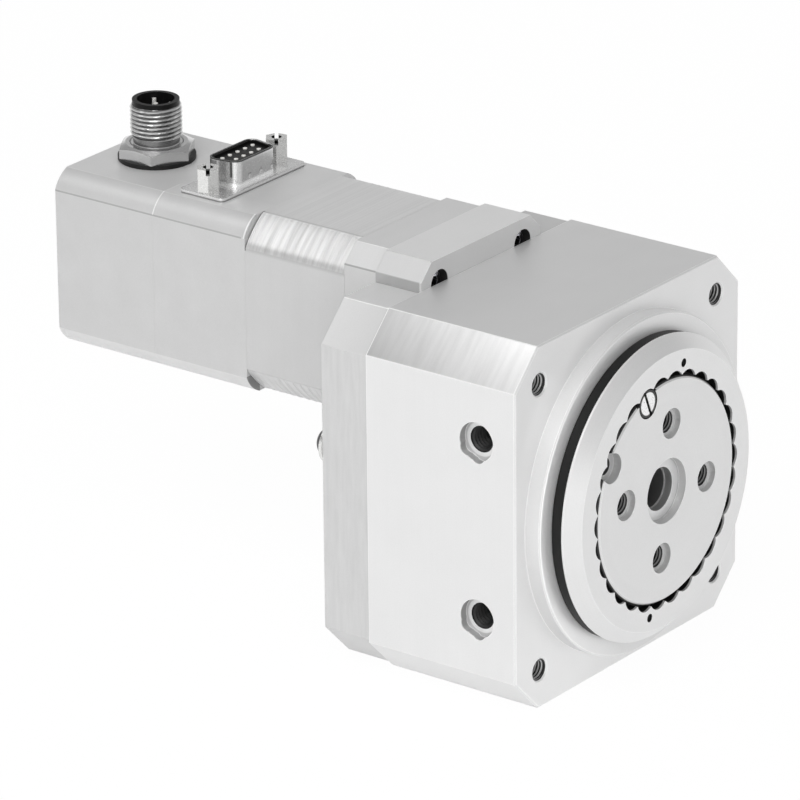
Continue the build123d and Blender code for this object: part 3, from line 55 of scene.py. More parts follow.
# Round features, as the two coordinates across their axis, with the flange holes' circle and turn
FRONT_HOLE = (33.5, 33.5)
SIDE_HOLE = (10.3, 20.75)
FLANGE_CIRCLE = 31.0
FLANGE_HOLE = (FLANGE_CIRCLE / 2, 0)
FLANGE_TURN = 6.5
LOCK_SCREW = (-7.217, 22.889)
SPARE_SEAT = (-20.68, 12.18)
UPPER_SCREWS = ((-15.5, 42.5), (15.5, 42.5))
POSTS = ((-12.5, 107), (12.5, 107))
ROUND_PLUG = (0, 132)

Item = bpy.types.Object
Socket = bpy.types.NodeSocket
Pair = tuple[float, float]
Triple = tuple[float, float, float]
Surface = tuple[np.ndarray, np.ndarray]
Inputs = dict[str | int, object]

log = logging.getLogger("actuator")


class Grain(Enum):
    """How the tool marks of a machined metal run."""

    ACROSS_Y = "lines that run round the part, across the output axis"
    TURNED_Y = "fine rings round the output axis"
    TURNED_Z = "fine rings round an upright axis"
    FINE = "no direction, as on blasted or plated metal"


class Graph:
    """A node tree, with short calls to add and link nodes."""

    noise_middle: Pair = (0.28, 0.72)

    def __init__(self, tree: bpy.types.NodeTree) -> None:
        """Takes the tree that the calls work on."""
        self.tree = tree

    def fill(self, node: bpy.types.Node, inputs: Inputs) -> None:
        """Links or sets inputs of a node.

        Args:
            node: The node.
            inputs: For an input's name or number, the socket to link to it or the value to set.
        """
        for key, value in inputs.items():
            if isinstance(value, Socket):
                self.tree.links.new(value, node.inputs[key])
            else:
                node.inputs[key].default_value = value

    def add(self, kind: str, inputs: Inputs | None = None, **values: object) -> bpy.types.Node:
        """Adds a node.

        Args:
            kind: Blender's type name of the node, without the ShaderNode at its start.
            inputs: What its inputs get, as for fill.
            **values: Attributes of the node, set as they are.

        Returns:
            The node.
        """
        node = self.tree.nodes.new("ShaderNode" + kind)
        for key, value in values.items():
            setattr(node, key, value)
        self.fill(node, inputs or {})
        return node

    def math(self, operation: str, first: Socket | float, second: Socket | float = 0.0) -> Socket:
        """Adds a Math node on sockets or numbers and returns its output."""
        return self.add("Math", {0: first, 1: second}, operation=operation).outputs[0]

    def chain(self, operation: str, *terms: Socket | float) -> Socket:
        """Applies a Math operation to two terms, then to the result and the next term, and so on."""
        return reduce(lambda one, other: self.math(operation, one, other), terms)

    def product(self, *factors: Socket | float) -> Socket:
        """Multiplies factors one after the other and returns the result."""
        return self.chain("MULTIPLY", *factors)

    def one_plus(self, mask: Socket, excess: Socket | float) -> Socket:
        """Returns 1 + mask x excess."""
        return self.math("ADD", 1.0, self.product(mask, excess))

    def noise(self, vector: Socket, scale: float, detail: float = 2.0) -> Socket:
        """Returns a noise of so many cells in a unit of its coordinate, about 0.5 on average."""
        return self.add("TexNoise", {"Vector": vector, "Scale": scale, "Detail": detail}).outputs["Fac"]

    def stretched(self, vector: Socket, scale: Triple) -> Socket:
        """Scales a coordinate by a factor of its own along each axis and returns the result."""
        return self.add("Mapping", {"Vector": vector, "Scale": scale}).outputs[0]

    def between(self, value: Socket, ends: Pair, shares: Pair = (0.0, 1.0), curve: str = "LINEAR") -> Socket:
        """Maps a value that runs between two ends on two shares, held at both, and returns the result."""
        inputs = dict(zip(("Value", "From Min", "From Max", "To Min", "To Max"), (value, *ends, *shares)))
        return self.add("MapRange", inputs, interpolation_type=curve).outputs[0]

    def spread(self, value: Socket, low: float, high: float) -> Socket:
        """Maps the middle half of a noise's range on low to high and returns the result."""
        return self.between(value, self.noise_middle, (low, high))

    def sway(self, value: Socket, amount: float) -> Socket:
        """Maps the middle half of a noise's range on 1 - amount to 1 + amount and returns the result."""
        return self.spread(value, 1 - amount, 1 + amount)

    def window(self, value: Socket, ends: Pair, soft: float) -> Socket:
        """Returns 1 between two ends and 0 outside, with slopes of the width soft inside both ends."""
        low, high = ends
        return self.product(self.between(value, (low, low + soft)), self.between(value, (high, high - soft)))

    def joined(self, first: Socket, second: Socket) -> Socket:
        """Returns a coordinate whose X and Y are two numbers."""
        return self.add("CombineXYZ", {0: first, 1: second}).outputs[0]

    def split(self, vector: Socket) -> list[Socket]:
        """Returns X, Y and Z of a coordinate."""
        return list(self.add("SeparateXYZ", {0: vector}).outputs)

    def tint(self, colour: Triple, share: Socket) -> Socket:
        """Multiplies a colour by a share and returns the result."""
        return self.add("VectorMath", {0: colour, "Scale": share}, operation="SCALE").outputs[0]

    def bevel(self, radius: float, samples: int) -> Socket:
        """Returns the normal of edges that are rounded by a radius in millimetres."""
        return self.add("Bevel", {"Radius": radius * MM}, samples=samples).outputs[0]

    def seen(self) -> Socket:
        """Returns 1 for rays from the camera, a glossy surface or a clear one, and else 0."""
        path = self.add("LightPath").outputs
        kinds = ("Camera", "Glossy", "Transmission")
        return self.chain("MAXIMUM", *(path[f"Is {kind} Ray"] for kind in kinds))


class MaterialGraph(Graph):
    """The node tree of a new material whose surface is one Principled shader."""

    def __init__(self, name: str) -> None:
        """Starts the material.

        Args:
            name: Name of the material.
        """
        self.material = bpy.data.materials.new(name)
        self.material.use_nodes = True
        super().__init__(self.material.node_tree)
        self.shader = self.tree.nodes["Principled BSDF"]


@dataclass(frozen=True)
class Zone:
    """A box in the part's frame in which a finish has painted light or shade, in millimetres.

    The share of the colour is one number, or two between which it runs evenly along one axis. Streaks
    across that axis can be added.
    """

    x: Pair
    y: Pair
    z: Pair
    shares: tuple[float, ...]
    axis: int = 1
    soft: float = 0.15
    streaks: float = 0.0
    pitch: float = 1.0
    streak_stretch: float = 0.1

    def factor(self, graph: Graph, axes: list[Socket]) -> Socket:
        """Share of the colour at a place: 1 + mask x (share - 1).

        Args:
            graph: The material's node tree.
            axes: X, Y and Z in millimetres.

        Returns:
            The share.
        """
        spans = (self.x, self.y, self.z)
        mask = graph.product(*(graph.window(value, ends, self.soft) for value, ends in zip(axes, spans)))
        share = graph.between(axes[self.axis], spans[self.axis], (self.shares[0], self.shares[-1]))
        if self.streaks > 0:
            across = graph.math("DIVIDE", axes[self.axis], self.pitch)
            along = graph.product(axes[(self.axis + 1) % 3], self.streak_stretch)
            lines = graph.noise(graph.joined(across, along), 1.0)
            share = graph.product(share, graph.sway(lines, self.streaks))
        return graph.one_plus(mask, graph.math("SUBTRACT", share, 1.0))


class Fold(Enum):
    """How one well stands for several."""

    NONE = "a single well"
    MIRRORED = "the same well on both sides of all three planes"
    QUARTERS = "the same well at each quarter turn"


@dataclass(frozen=True)
class Well:
    """A round zone, such as the inside of a hole, in which a finish has painted shade or light, in
    millimetres.
    """

    centre: Pair
    radii: Pair
    depth: Pair
    share: float
    axis: int = 1
    fold: Fold = Fold.NONE
    turn: float = 0.0
    soft: float = 0.12

    def folded(self, graph: Graph, axes: list[Socket]) -> list[Socket]:
        """Brings a place into the part that the well stands in.

        For quarter turns both coordinates across the axis are turned by the angle. The larger of their
        sizes is then the first coordinate and the smaller one the second.

        Args:
            graph: The material's node tree.
            axes: X, Y and Z in millimetres.

        Returns:
            The two coordinates across the well's axis.
        """
        one, other = (value for number, value in enumerate(axes) if number != self.axis)
        if self.fold is not Fold.QUARTERS:
            return [one, other]
        sine, cosine = math.sin(math.radians(self.turn)), math.cos(math.radians(self.turn))
        first = graph.math("SUBTRACT", graph.product(one, cosine), graph.product(other, sine))
        second = graph.math("ADD", graph.product(one, sine), graph.product(other, cosine))
        sizes = [graph.math("ABSOLUTE", first), graph.math("ABSOLUTE", second)]
        return [graph.math("MAXIMUM", *sizes), graph.math("MINIMUM", *sizes)]

    def factor(self, graph: Graph, axes: list[Socket]) -> Socket:
        """Share of the colour at a place: 1 + mask x (share - 1).

        The mask is 1 where the distance from the well's axis is between both radii and the place along
        the axis is within the depth.

        Args:
            graph: The material's node tree.
            axes: X, Y and Z in millimetres.

        Returns:
            The share.
        """
        if self.fold is Fold.MIRRORED:
            axes = [graph.math("ABSOLUTE", value) for value in axes]
        squares = [graph.math("POWER", graph.math("SUBTRACT", value, middle), 2.0)
                   for value, middle in zip(self.folded(graph, axes), self.centre)]
        distance = graph.math("SQRT", graph.math("ADD", *squares))
        mask = graph.product(graph.window(distance, self.radii, self.soft),
                             graph.window(axes[self.axis], self.depth, self.soft))
        return graph.one_plus(mask, self.share - 1.0)


# Noises of a metal: cells per metre, how much they change tone, relief and roughness, the width of bands
# in pitches with their share of the streaks, and how much streaks are stretched along their length
MOTTLE_SCALE = 90.0
FINE_SCALE = 3200.0
FINE_TONE = 0.015
FINE_RELIEF = 0.5
ROUGHNESS_SWAY = 0.05
BAND_PITCHES = 9.0
BAND_SHARE = 0.7
LENGTHWISE = 0.03

# Line of light along edges: its width in millimetres, and the dot products where it starts and is full
RIM_RADIUS = 0.34
RIM_DOTS = (0.99, 0.90)


@dataclass(frozen=True)
class Metal:
    """A machined, plated or blasted metal.

    The colour is multiplied by streaks that follow the tool, a broad mottle, the marks, which paint light and
    shade, and a painted line of light along edges. The streaks also lift the surface and change its roughness
    a little. Edges are rounded in shading only.
    """

    name: str
    colour: Triple
    roughness: float
    metallic: float = 0.7
    grain: Grain = Grain.FINE
    pitch: float = 0.35
    streaks: float = 0.05
    broad: float = 0.03
    relief: float = 0.006
    edge: float = 0.18
    # Share of the painted highlight along edges
    rim: float = 0.0
    # Zones and wells of painted light and shade, some with tool streaks
    marks: tuple[Zone | Well, ...] = ()

    def grain_vector(self, graph: Graph, place: Socket) -> Socket:
        """Coordinate that changes quickly across the tool marks and slowly along them.

        For turned metal its X is the distance from the axis, the root of the sum of two squares, and its
        Y is the place along the axis.

        Args:
            graph: The material's node tree.
            place: Object coordinates.

        Returns:
            The coordinate.
        """
        if self.grain is Grain.ACROSS_Y:
            return graph.stretched(place, (LENGTHWISE, 1.0, LENGTHWISE))
        if self.grain is Grain.FINE:
            return graph.stretched(place, (1.0, 1.0, 1.0))
        x, y, z = graph.split(place)
        side, along = (y, z) if self.grain is Grain.TURNED_Z else (z, y)
        squares = graph.math("ADD", graph.product(x, x), graph.product(side, side))
        return graph.joined(graph.math("SQRT", squares), along)

    def rim_factor(self, graph: Graph) -> Socket:
        """Share that paints a narrow highlight along edges.

        An edge is where the normal of the rounded edge leaves the face's own: 1 + rim x (1 - their dot
        product), scaled and held at 1.

        Args:
            graph: The material's node tree.

        Returns:
            The share.
        """
        flat = graph.add("NewGeometry").outputs["True Normal"]
        rounded = graph.bevel(RIM_RADIUS, samples=6)
        dot = graph.add("VectorMath", {0: rounded, 1: flat}, operation="DOT_PRODUCT")
        return graph.one_plus(graph.between(dot.outputs["Value"], RIM_DOTS), self.rim)

    @cache
    def material(self) -> bpy.types.Material:
        """Builds the material at the first call and keeps it.

        Returns:
            The material.
        """
        graph = MaterialGraph(self.name)
        place = graph.add("TexCoord").outputs["Object"]
        per_metre = 1.0 / (self.pitch * MM)
        lines = graph.noise(self.grain_vector(graph, place), per_metre, 3.0)
        bands = graph.noise(self.grain_vector(graph, place), per_metre / BAND_PITCHES, 1.0)
        mottle = graph.noise(place, MOTTLE_SCALE, 3.0)
        fine = graph.noise(place, FINE_SCALE)
        share = graph.product(
            graph.product(graph.sway(lines, self.streaks), graph.sway(bands, self.streaks * BAND_SHARE)),
            graph.product(graph.sway(mottle, self.broad), graph.sway(fine, FINE_TONE)))
        axes = graph.split(graph.stretched(place, (1 / MM, 1 / MM, 1 / MM)))
        for mark in self.marks:
            share = graph.product(share, mark.factor(graph, axes))
        if self.rim > 0:
            share = graph.product(share, self.rim_factor(graph))
        relief = {"Strength": 1.0, "Distance": self.relief * MM,
                  "Height": graph.math("ADD", lines, graph.product(fine, FINE_RELIEF))}
        if self.edge > 0:
            relief["Normal"] = graph.bevel(self.edge, samples=4)
        sway = graph.spread(lines, -ROUGHNESS_SWAY, ROUGHNESS_SWAY)
        graph.fill(graph.shader, {
            "Base Color": graph.tint(self.colour, share),
            "Metallic": self.metallic,
            "Roughness": graph.math("ADD", sway, self.roughness),
            "Normal": graph.add("Bump", relief).outputs[0],
        })
        return graph.material


@dataclass(frozen=True)
class Polymer:
    """A moulded plastic or rubber: an even colour with a fine moulded grain and slight dust."""

    name: str
    colour: Triple
    roughness: float
    grain: float = 0.12
    relief: float = 0.01
    gloss: float = 0.5
    grain_tone: float = 0.1
    dust_scale: float = 260.0
    dust_tones: Pair = (0.85, 1.2)
    dust_sway: float = 0.06

    @cache
    def material(self) -> bpy.types.Material:
        """Builds the material at the first call and keeps it.

        Returns:
            The material.
        """
        graph = MaterialGraph(self.name)
        place = graph.add("TexCoord").outputs["Object"]
        fine = graph.noise(place, 1.0 / (self.grain * MM))
        dust = graph.noise(place, self.dust_scale, 4.0)
        share = graph.product(graph.sway(fine, self.grain_tone), graph.spread(dust, *self.dust_tones))
        relief = graph.add("Bump", {"Distance": self.relief * MM, "Height": fine})
        graph.fill(graph.shader, {
            "Base Color": graph.tint(self.colour, share),
            "Specular IOR Level": self.gloss,
            "Roughness": graph.spread(dust, self.roughness - self.dust_sway, self.roughness + self.dust_sway),
            "Normal": relief.outputs[0],
        })
        return graph.material


def grey(tone: float) -> Triple:
    """Returns the colour whose three parts are one tone."""
    return (tone, tone, tone)


HOUSING_STREAKS_AND_PAINTED_SHADING = (
    # Painted shade inside the front holes and the side holes and on the walls of the side recesses, with a
    # painted highlight on the seats round the side holes
    Well(FRONT_HOLE, (-1, 2.6), (0.5, 40), 0.16, fold=Fold.MIRRORED),
    Well(SIDE_HOLE, (-1, 3.1), (20, 40.3), 0.05, 0, Fold.MIRRORED),
    Well(SIDE_HOLE, (3.8, 6.5), (40.3, 42.35), 0.45, 0, Fold.MIRRORED, soft=0.3),
    Well(SIDE_HOLE, (3.1, 4.0), (40.2, 40.6), 1.12, 0, Fold.MIRRORED, soft=0.05),
    # Upper left chamfer: tool streaks, with painted light at the front and painted shade that darkens it to
    # the back and to its lower edge
    Zone((-42.45, -34.05), (0.4, 39.9), (34.05, 42.45), (1.12, 0.68), streaks=0.06, pitch=1.6),
    Zone((-42.45, -34.05), (0.4, 39.9), (34.05, 42.45), (0.80, 1.08), axis=0),
    # Painted shade on the top, and painted light on the front, lightest towards its bottom, and on the
    # collar's face, lightest to the left
    Zone((-34, 34), (0.5, 39.9), (42.3, 42.8), (0.92,), soft=0.05),
    Zone((-42.4, 42.4), (-0.3, 0.3), (-42.4, 42.4), (1.10, 0.99), axis=2),
    Zone((-39.5, -8), (-4.3, -3.75), (-42, 42), (1.24, 1.0), axis=0),
)
FRONT_THREAD_PAINTED_SHADE = (
    # Painted shade in the roots of the turns and on the deeper turns
    Well(FRONT_HOLE, (2.22, 4), (-1, 40), 0.10, fold=Fold.MIRRORED, soft=0.08),
    Well(FRONT_HOLE, (-1, 6), (4.0, 40), 0.20, fold=Fold.MIRRORED, soft=2.0),
)
PLATE_STREAKS_AND_PAINTED_SHADING = (
    # Tool streaks on the left side, a painted shadow along its seam at the housing, and painted shade and
    # light on the upper left chamfer
    Zone((-42.6, -42.0), (39, 54), (-35, 35), (1.0,), streaks=0.06, pitch=1.1),
    Zone((-42.6, -41.9), (39, 40.4), (-34.5, 34.5), (0.62,), soft=0.12),
    Zone((-42.05, -33.7), (40.2, 52.4), (33.7, 42.05), (0.96, 1.08)),
    # Painted light on the top beside the lug, painted shade on the lug's foot, and painted light on its top
    # and its front
    Zone((-42.05, -22.5), (39, 54), (41.9, 42.5), (1.32,), soft=0.05),
    Zone((-22.6, -22.1), (40.4, 52.6), (41.0, 44.6), (0.66,)),
    Zone((-18.2, 18.2), (39, 54), (48.2, 48.6), (1.32,), soft=0.05),
    Zone((-24, 24), (39.8, 40.1), (42.6, 49), (1.14,), soft=0.05),
    # Painted shade in the recesses of the upper motor screws
    *(Well(place, (-1, 3.4), (40.12, 45), 0.10) for place in UPPER_SCREWS),
)
SCREW_PAINTED_GLINTS = (
    # Glints on the heads of the upper motor screws
    Zone((-15.7, -14.0), (41.2, 42.0), (43.5, 45.7), (16,)),
    Zone((15.3, 17.0), (41.2, 42.0), (43.5, 45.7), (16,)),
)
BODY_PAINTED_SHADING = (
    # Painted shade along the lower edge of the upper left chamfer, and painted light on the chamfer and on
    # the top, lightest along its left border
    Zone((-21.6, -20.9), (91, 145), (43.45, 43.9), (0.66,), soft=0.1),
    Zone((-21.6, -16.7), (90.9, 145), (43.8, 48.4), (1.04,)),
    Zone((-17.0, 22), (89, 146), (48.0, 48.4), (1.15, 1.20), soft=0.05),
    Zone((-16.7, -9), (90.2, 116.4), (48.0, 48.5), (1.13, 1.0), axis=0, soft=0.05),
    # Painted highlight along the seam of the cover on the chamfer and on the top
    Zone((-21.6, -16.5), (116.25, 116.6), (43.7, 48.6), (1.35,), soft=0.05),
    Zone((-16.9, -11.0), (116.3, 116.55), (47.8, 48.6), (1.18,), soft=0.05),
    # Painted shade on the front end at the upper and lower corner, painted light on the lower chamfer, and a
    # painted highlight along the edge of the upper one
    Zone((-22, -16.6), (89.9, 90.15), (43.6, 49), (0.86,), soft=0.05),
    Zone((-22, -16.6), (89.9, 90.12), (5, 10.6), (0.45,), soft=0.04),
    Zone((-21.3, -16.7), (90.1, 145), (5.4, 10.3), (1.22,)),
    Zone((-22, -16.6), (90.1, 90.6), (43.6, 49), (1.4,), soft=0.1),
)
FRONT_BELL_PAINTED_SHADING = (
    # Painted shade along the lower edge of the upper left chamfer, and painted light on the chamfer and on
    # the top
    Zone((-21.6, -20.9), (52, 63), (43.6, 44.1), (0.62,), soft=0.1),
    Zone((-21.6, -16.7), (52, 63), (43.9, 48.4), (1.10,)),
    Zone((-17.0, 22), (52, 63), (48.0, 48.4), (1.18,), soft=0.05),
)
STACK_STREAKS_AND_PAINTED_SHADING = (
    # Painted light and streaks on the upper left corner, painted shade along its lower and rear border,
    # painted light and streaks on the top, and painted light on the lower left corner
    Zone((-21.35, -14.4), (61, 91), (41.3, 48.4), (1.30,), soft=0.3, streaks=0.17, pitch=1.0),
    Zone((-21.8, -20.0), (61, 91), (40.6, 43.6), (0.52,), soft=1.1),
    Zone((-21.8, -13.8), (89.7, 90.1), (40.9, 48.5), (0.35,), soft=0.06),
    Zone((-14, 22), (61, 91), (48.0, 48.4), (1.20,), streaks=0.05, pitch=0.7),
    Zone((-21.3, -13.8), (61, 91), (5.2, 12.4), (1.20,), soft=0.4),
)
HUB_PAINTED_SHADE = (
    # Painted shade in the flange holes and on the walls of their recesses
    Well(FLANGE_HOLE, (-1, 2.6), (-8.4, 0), 0.25, fold=Fold.QUARTERS, turn=FLANGE_TURN),
    Well(FLANGE_HOLE, (3.2, 4.0), (-10.1, -8.2), 0.80, fold=Fold.QUARTERS, turn=FLANGE_TURN),
    # Painted shade in the bore, its mouth and the wall of its recess, then on the disc's rim in the gap to
    # the ring
    Well((0, 0), (-1, 5.2), (-6.1, 60), 0.22),
    Well((0, 0), (-1, 5.2), (-8.1, -6.0), 0.5),
    Well((0, 0), (7.0, 8.0), (-10.1, -8.0), 0.78),
    Well((0, 0), (25.68, 27.6), (-9.97, 0), 0.06, soft=0.04),
    # Painted shade in the gap round the lock screw, and in the empty seat and its hole
    Well(LOCK_SCREW, (3.1, 4.0), (-10.15, 0), 0.03),
    Well(SPARE_SEAT, (2.1, 4.0), (-10.1, 0), 0.78),
    Well(SPARE_SEAT, (-1, 2.1), (-10.1, 0), 0.12),
)
FLANGE_THREAD_PAINTED_SHADE = (
    # Painted shade in the roots of the turns
    Well(FLANGE_HOLE, (2.22, 4), (-12, 0), 0.10, fold=Fold.QUARTERS, turn=FLANGE_TURN, soft=0.08),
)
RING_PAINTED_SHADE = (
    # Painted shade in the notches and in the index dots
    Well((0, 0), (20, 28.4), (-9.66, 0), 0.03, soft=0.15),
    Well((0, 0), (27.6, 30.2), (-10.13, 0), 0.05, soft=0.05),
)
LOCK_PAINTED_SHADE = (
    # Painted shade on the rim of the head and in the slot
    Well(LOCK_SCREW, (2.55, 4.0), (-12, 0), 0.03),
    Well(LOCK_SCREW, (-1, 2.9), (-9.95, 0), 0.04, soft=0.05),
)
POST_PAINTED_SHADE = (
    # Painted shade in the bores and on the floors of the slots
    *(Well(place, (-1, 1.22), (51, 54.62), 0.04, 2, soft=0.02) for place in POSTS),
    *(Well(place, (-1, 2.3), (53.2, 53.5), 0.08, 2) for place in POSTS),
)
SLEEVE_PAINTED_SHADE = (
    # Painted shade in the roots of the thread and in the undercut
    Well(ROUND_PLUG, (5.2, 5.74), (53.9, 61.4), 0.32, 2),
    Well(ROUND_PLUG, (5.2, 5.9), (52.2, 54.2), 0.30, 2),
)
SHELL_TONE_AND_PAINTED_SHADING = (
    # A darker tone on the whole shell, and a painted shadow along the lower edge of its flange
    Zone((-9.6, 9.6), (100, 114), (49.2, 55.2), (0.80,)),
    Zone((-16, 16), (100, 114), (48.0, 48.55), (0.40,), soft=0.08),
    # Painted reflections of the room: upright dark and light bands at the left end
    Zone((-9.6, -5.8), (108.0, 111.6), (49.7, 54.8), (0.30,), soft=0.3),
    Zone((-9.6, -5.8), (105.0, 106.0), (49.7, 54.8), (1.35,), soft=0.2),
    Zone((-9.6, -5.8), (104.2, 104.9), (51.0, 54.8), (0.22,), soft=0.15),
    Zone((-9.6, -5.4), (102.8, 104.1), (49.7, 54.8), (1.40,), soft=0.2),
    # Painted shade on the front, a painted highlight on the foot, and painted shade on the lip
    Zone((-5.4, 8.0), (102.6, 103.3), (50.0, 54.4), (0.82,), soft=0.3),
    Zone((-9.6, 9.6), (101.5, 112), (49.0, 49.8), (1.45,), soft=0.1),
    Zone((-9.6, 7.0), (102, 112), (54.7, 55.2), (0.12,), soft=0.06),
)

# Name, colour, roughness, metallic, grain, pitch, streaks, broad mottle, relief and rounding of edges
HOUSING_ALUMINIUM = Metal("anodised_housing", grey(0.80), 0.42, 0.50, Grain.ACROSS_Y, 0.9, 0.008, 0.01,
                          rim=0.32, marks=HOUSING_STREAKS_AND_PAINTED_SHADING)
# The threads' dark colours are painted shade inside the front, side and flange holes
FRONT_THREADS_IN_PAINTED_SHADE = Metal("front_threads_painted_shade", grey(0.50), 0.35, 0.6, marks=FRONT_THREAD_PAINTED_SHADE)
SIDE_THREADS_IN_PAINTED_SHADE = Metal("side_threads_painted_shade", grey(0.018), 0.5, 0.1)
FLANGE_THREADS_IN_PAINTED_SHADE = Metal("flange_threads_painted_shade", grey(0.26), 0.4, 0.4, marks=FLANGE_THREAD_PAINTED_SHADE)
PLATE_ALUMINIUM = Metal("brushed_motor_plate", grey(0.64), 0.40, 0.50, Grain.ACROSS_Y, 0.42, 0.008, 0.01,
                        rim=0.12, marks=PLATE_STREAKS_AND_PAINTED_SHADING)
MOTOR_ALUMINIUM = Metal("milled_motor_body", grey(0.61), 0.40, 0.40, Grain.FINE, 0.5, 0.012, 0.02,
                        rim=0.04, marks=BODY_PAINTED_SHADING)
FRONT_BELL_ALUMINIUM = Metal("milled_front_bell", grey(0.61), 0.40, 0.40, Grain.ACROSS_Y, 0.5, 0.01, 0.02,
                             rim=0.04, marks=FRONT_BELL_PAINTED_SHADING)
STACK_STEEL = Metal("stacked_steel", grey(0.605), 0.42, 0.40, Grain.ACROSS_Y, 0.30, 0.008, 0.015,
                    marks=STACK_STREAKS_AND_PAINTED_SHADING)
TURNED_ALUMINIUM = Metal("turned_rotary_plate", grey(0.77), 0.40, 0.55, Grain.TURNED_Y, 0.25, 0.008, 0.01,
                         rim=0.26, marks=HUB_PAINTED_SHADE)
RING_ALUMINIUM = Metal("turned_index_ring", grey(0.80), 0.36, 0.55, Grain.TURNED_Y, 0.25, 0.008, 0.01,
                       rim=0.30, marks=RING_PAINTED_SHADE)
LOCK_STEEL = Metal("slotted_steel", grey(0.95), 0.30, 0.35, relief=0.0005, marks=LOCK_PAINTED_SHADE)
POST_STEEL = Metal("plated_posts", (0.78, 0.78, 0.77), 0.25, 0.8, Grain.FINE, 0.3, 0.03, 0.03, 0.0008,
                   marks=POST_PAINTED_SHADE)
BRIGHT_STEEL = Metal("bright_steel", (0.78, 0.78, 0.77), 0.25, 0.9, Grain.FINE, 0.3, 0.03, 0.03, 0.0008)
GROUND_STEEL = Metal("ground_steel", grey(0.66), 0.28, 0.95, Grain.TURNED_Y, 0.2, 0.03, 0.02)
DARK_STEEL = Metal("blackened_steel", (0.045, 0.045, 0.048), 0.38, 0.6, Grain.FINE, 0.25, 0.08, 0.05)
# Blackened screw heads with a strong painted highlight along their edges and painted glints
SCREW_STEEL_WITH_PAINTED_GLINTS = Metal("blackened_screw_heads_with_painted_glints", (0.025, 0.025, 0.027), 0.34, 0.6, Grain.FINE, 0.25, 0.08, 0.05,
                    rim=14, marks=SCREW_PAINTED_GLINTS)
SPRING_STEEL = Metal("blued_spring_steel", (0.25, 0.25, 0.27), 0.34, 0.9, Grain.TURNED_Y, 0.2, 0.04, 0.03)
MAGNET_GREY = Metal("sintered_magnet", (0.22, 0.22, 0.225), 0.5, 0.6, Grain.FINE, 0.2, 0.05, 0.05)
COPPER = Metal("enamelled_copper", (0.70, 0.34, 0.17), 0.32, 0.85, Grain.FINE, 0.3, 0.06, 0.05)
NICKEL = Metal("nickelled_brass", grey(0.66), 0.22, 0.92, Grain.TURNED_Z, 0.3, 0.03, 0.03, 0.001)
THREADED_NICKEL = Metal("threaded_nickel", grey(0.72), 0.20, 0.92, Grain.TURNED_Z, 0.3, 0.03, 0.03, 0.001,
                        edge=0, marks=SLEEVE_PAINTED_SHADE)
TINNED_SHELL = Metal("tinned_shell", grey(0.78), 0.24, 0.80, Grain.FINE, 0.35, 0.03, 0.03, 0.0008, 0.3,
                     marks=SHELL_TONE_AND_PAINTED_SHADING)
CONTACT_GOLD = Metal("plated_contacts", (0.96, 0.95, 0.92), 0.35, 0.30, Grain.FINE, 0.3, 0.02, 0.02, 0.0008)
BLACK_RUBBER = Polymer("black_rubber", grey(0.010), 0.45, gloss=0.22)
BLACK_PLASTIC = Polymer("black_moulding", grey(0.006), 0.35, gloss=0.12)
CAGE_PLASTIC = Polymer("bearing_cage", (0.35, 0.24, 0.12), 0.5)
BOARD_GREEN = Polymer("circuit_board", (0.02, 0.12, 0.05), 0.35)


def dress(finish: Metal | Polymer, *names: str) -> None:
    """Puts a finish on CAD nodes.

    Args:
        finish: The finish.
        *names: The nodes' names.
    """
    for name in names:
        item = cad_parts[name]
        if not item.material_slots:
            item.data.materials.append(None)
        for slot in item.material_slots:
            slot.material = finish.material()
        log.info("dressed node %s in %s", name, finish.name)


def add_piece(item: Item, finish: Metal, body: str) -> None:
    """Puts a finish on a new piece and lets it ride on a body.

    Args:
        item: The piece.
        finish: The finish.
        body: The body that it moves with.
    """
    item.data.materials.append(finish.material())
    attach(item, body)
    log.info("made piece %s with %d faces", item.name, len(item.data.polygons))


def placed(name: str, data: bpy.types.ID) -> Item:
    """Makes an object of a mesh, lamp or camera.

    Args:
        name: Name of the object.
        data: What it shows.

    Returns:
        The object, linked to the scene, at the origin.
    """
    item = bpy.data.objects.new(name, data)
    bpy.context.scene.collection.objects.link(item)
    return item


def circle(sides: int) -> np.ndarray:
    """Returns the angles of evenly spaced points on a full circle, in radians."""
    return np.linspace(0, 2 * np.pi, sides, endpoint=False)


def closed_grid(points: np.ndarray) -> Surface:
    """Vertices and quads of a surface that closes on itself both ways, like a ring.

    The faces join neighbours in both directions, the last row and column with the first. If the volume
    that they enclose comes out negative, every face is turned round, so that all point outwards.

    Args:
        points: Array of shape (rows, columns, 3).

    Returns:
        Vertices of shape (n, 3) and quads of shape (m, 4).
    """
    rows, columns, _ = points.shape
    row, column = np.meshgrid(np.arange(rows), np.arange(columns), indexing="ij")
    after_row, after_column = (row + 1) % rows, (column + 1) % columns
    quads = np.stack([row * columns + column, after_row * columns + column,
                      after_row * columns + after_column, row * columns + after_column], -1).reshape(-1, 4)
    flat = points.reshape(-1, 3)
    middle = flat.mean(0)
    a, b, c, d = (flat[quads[:, k]] - middle for k in range(4))
    volume = np.einsum("ij,ij->i", a, np.cross(b, c)).sum() + np.einsum("ij,ij->i", a, np.cross(c, d)).sum()
    return flat, quads if volume > 0 else quads[:, ::-1]


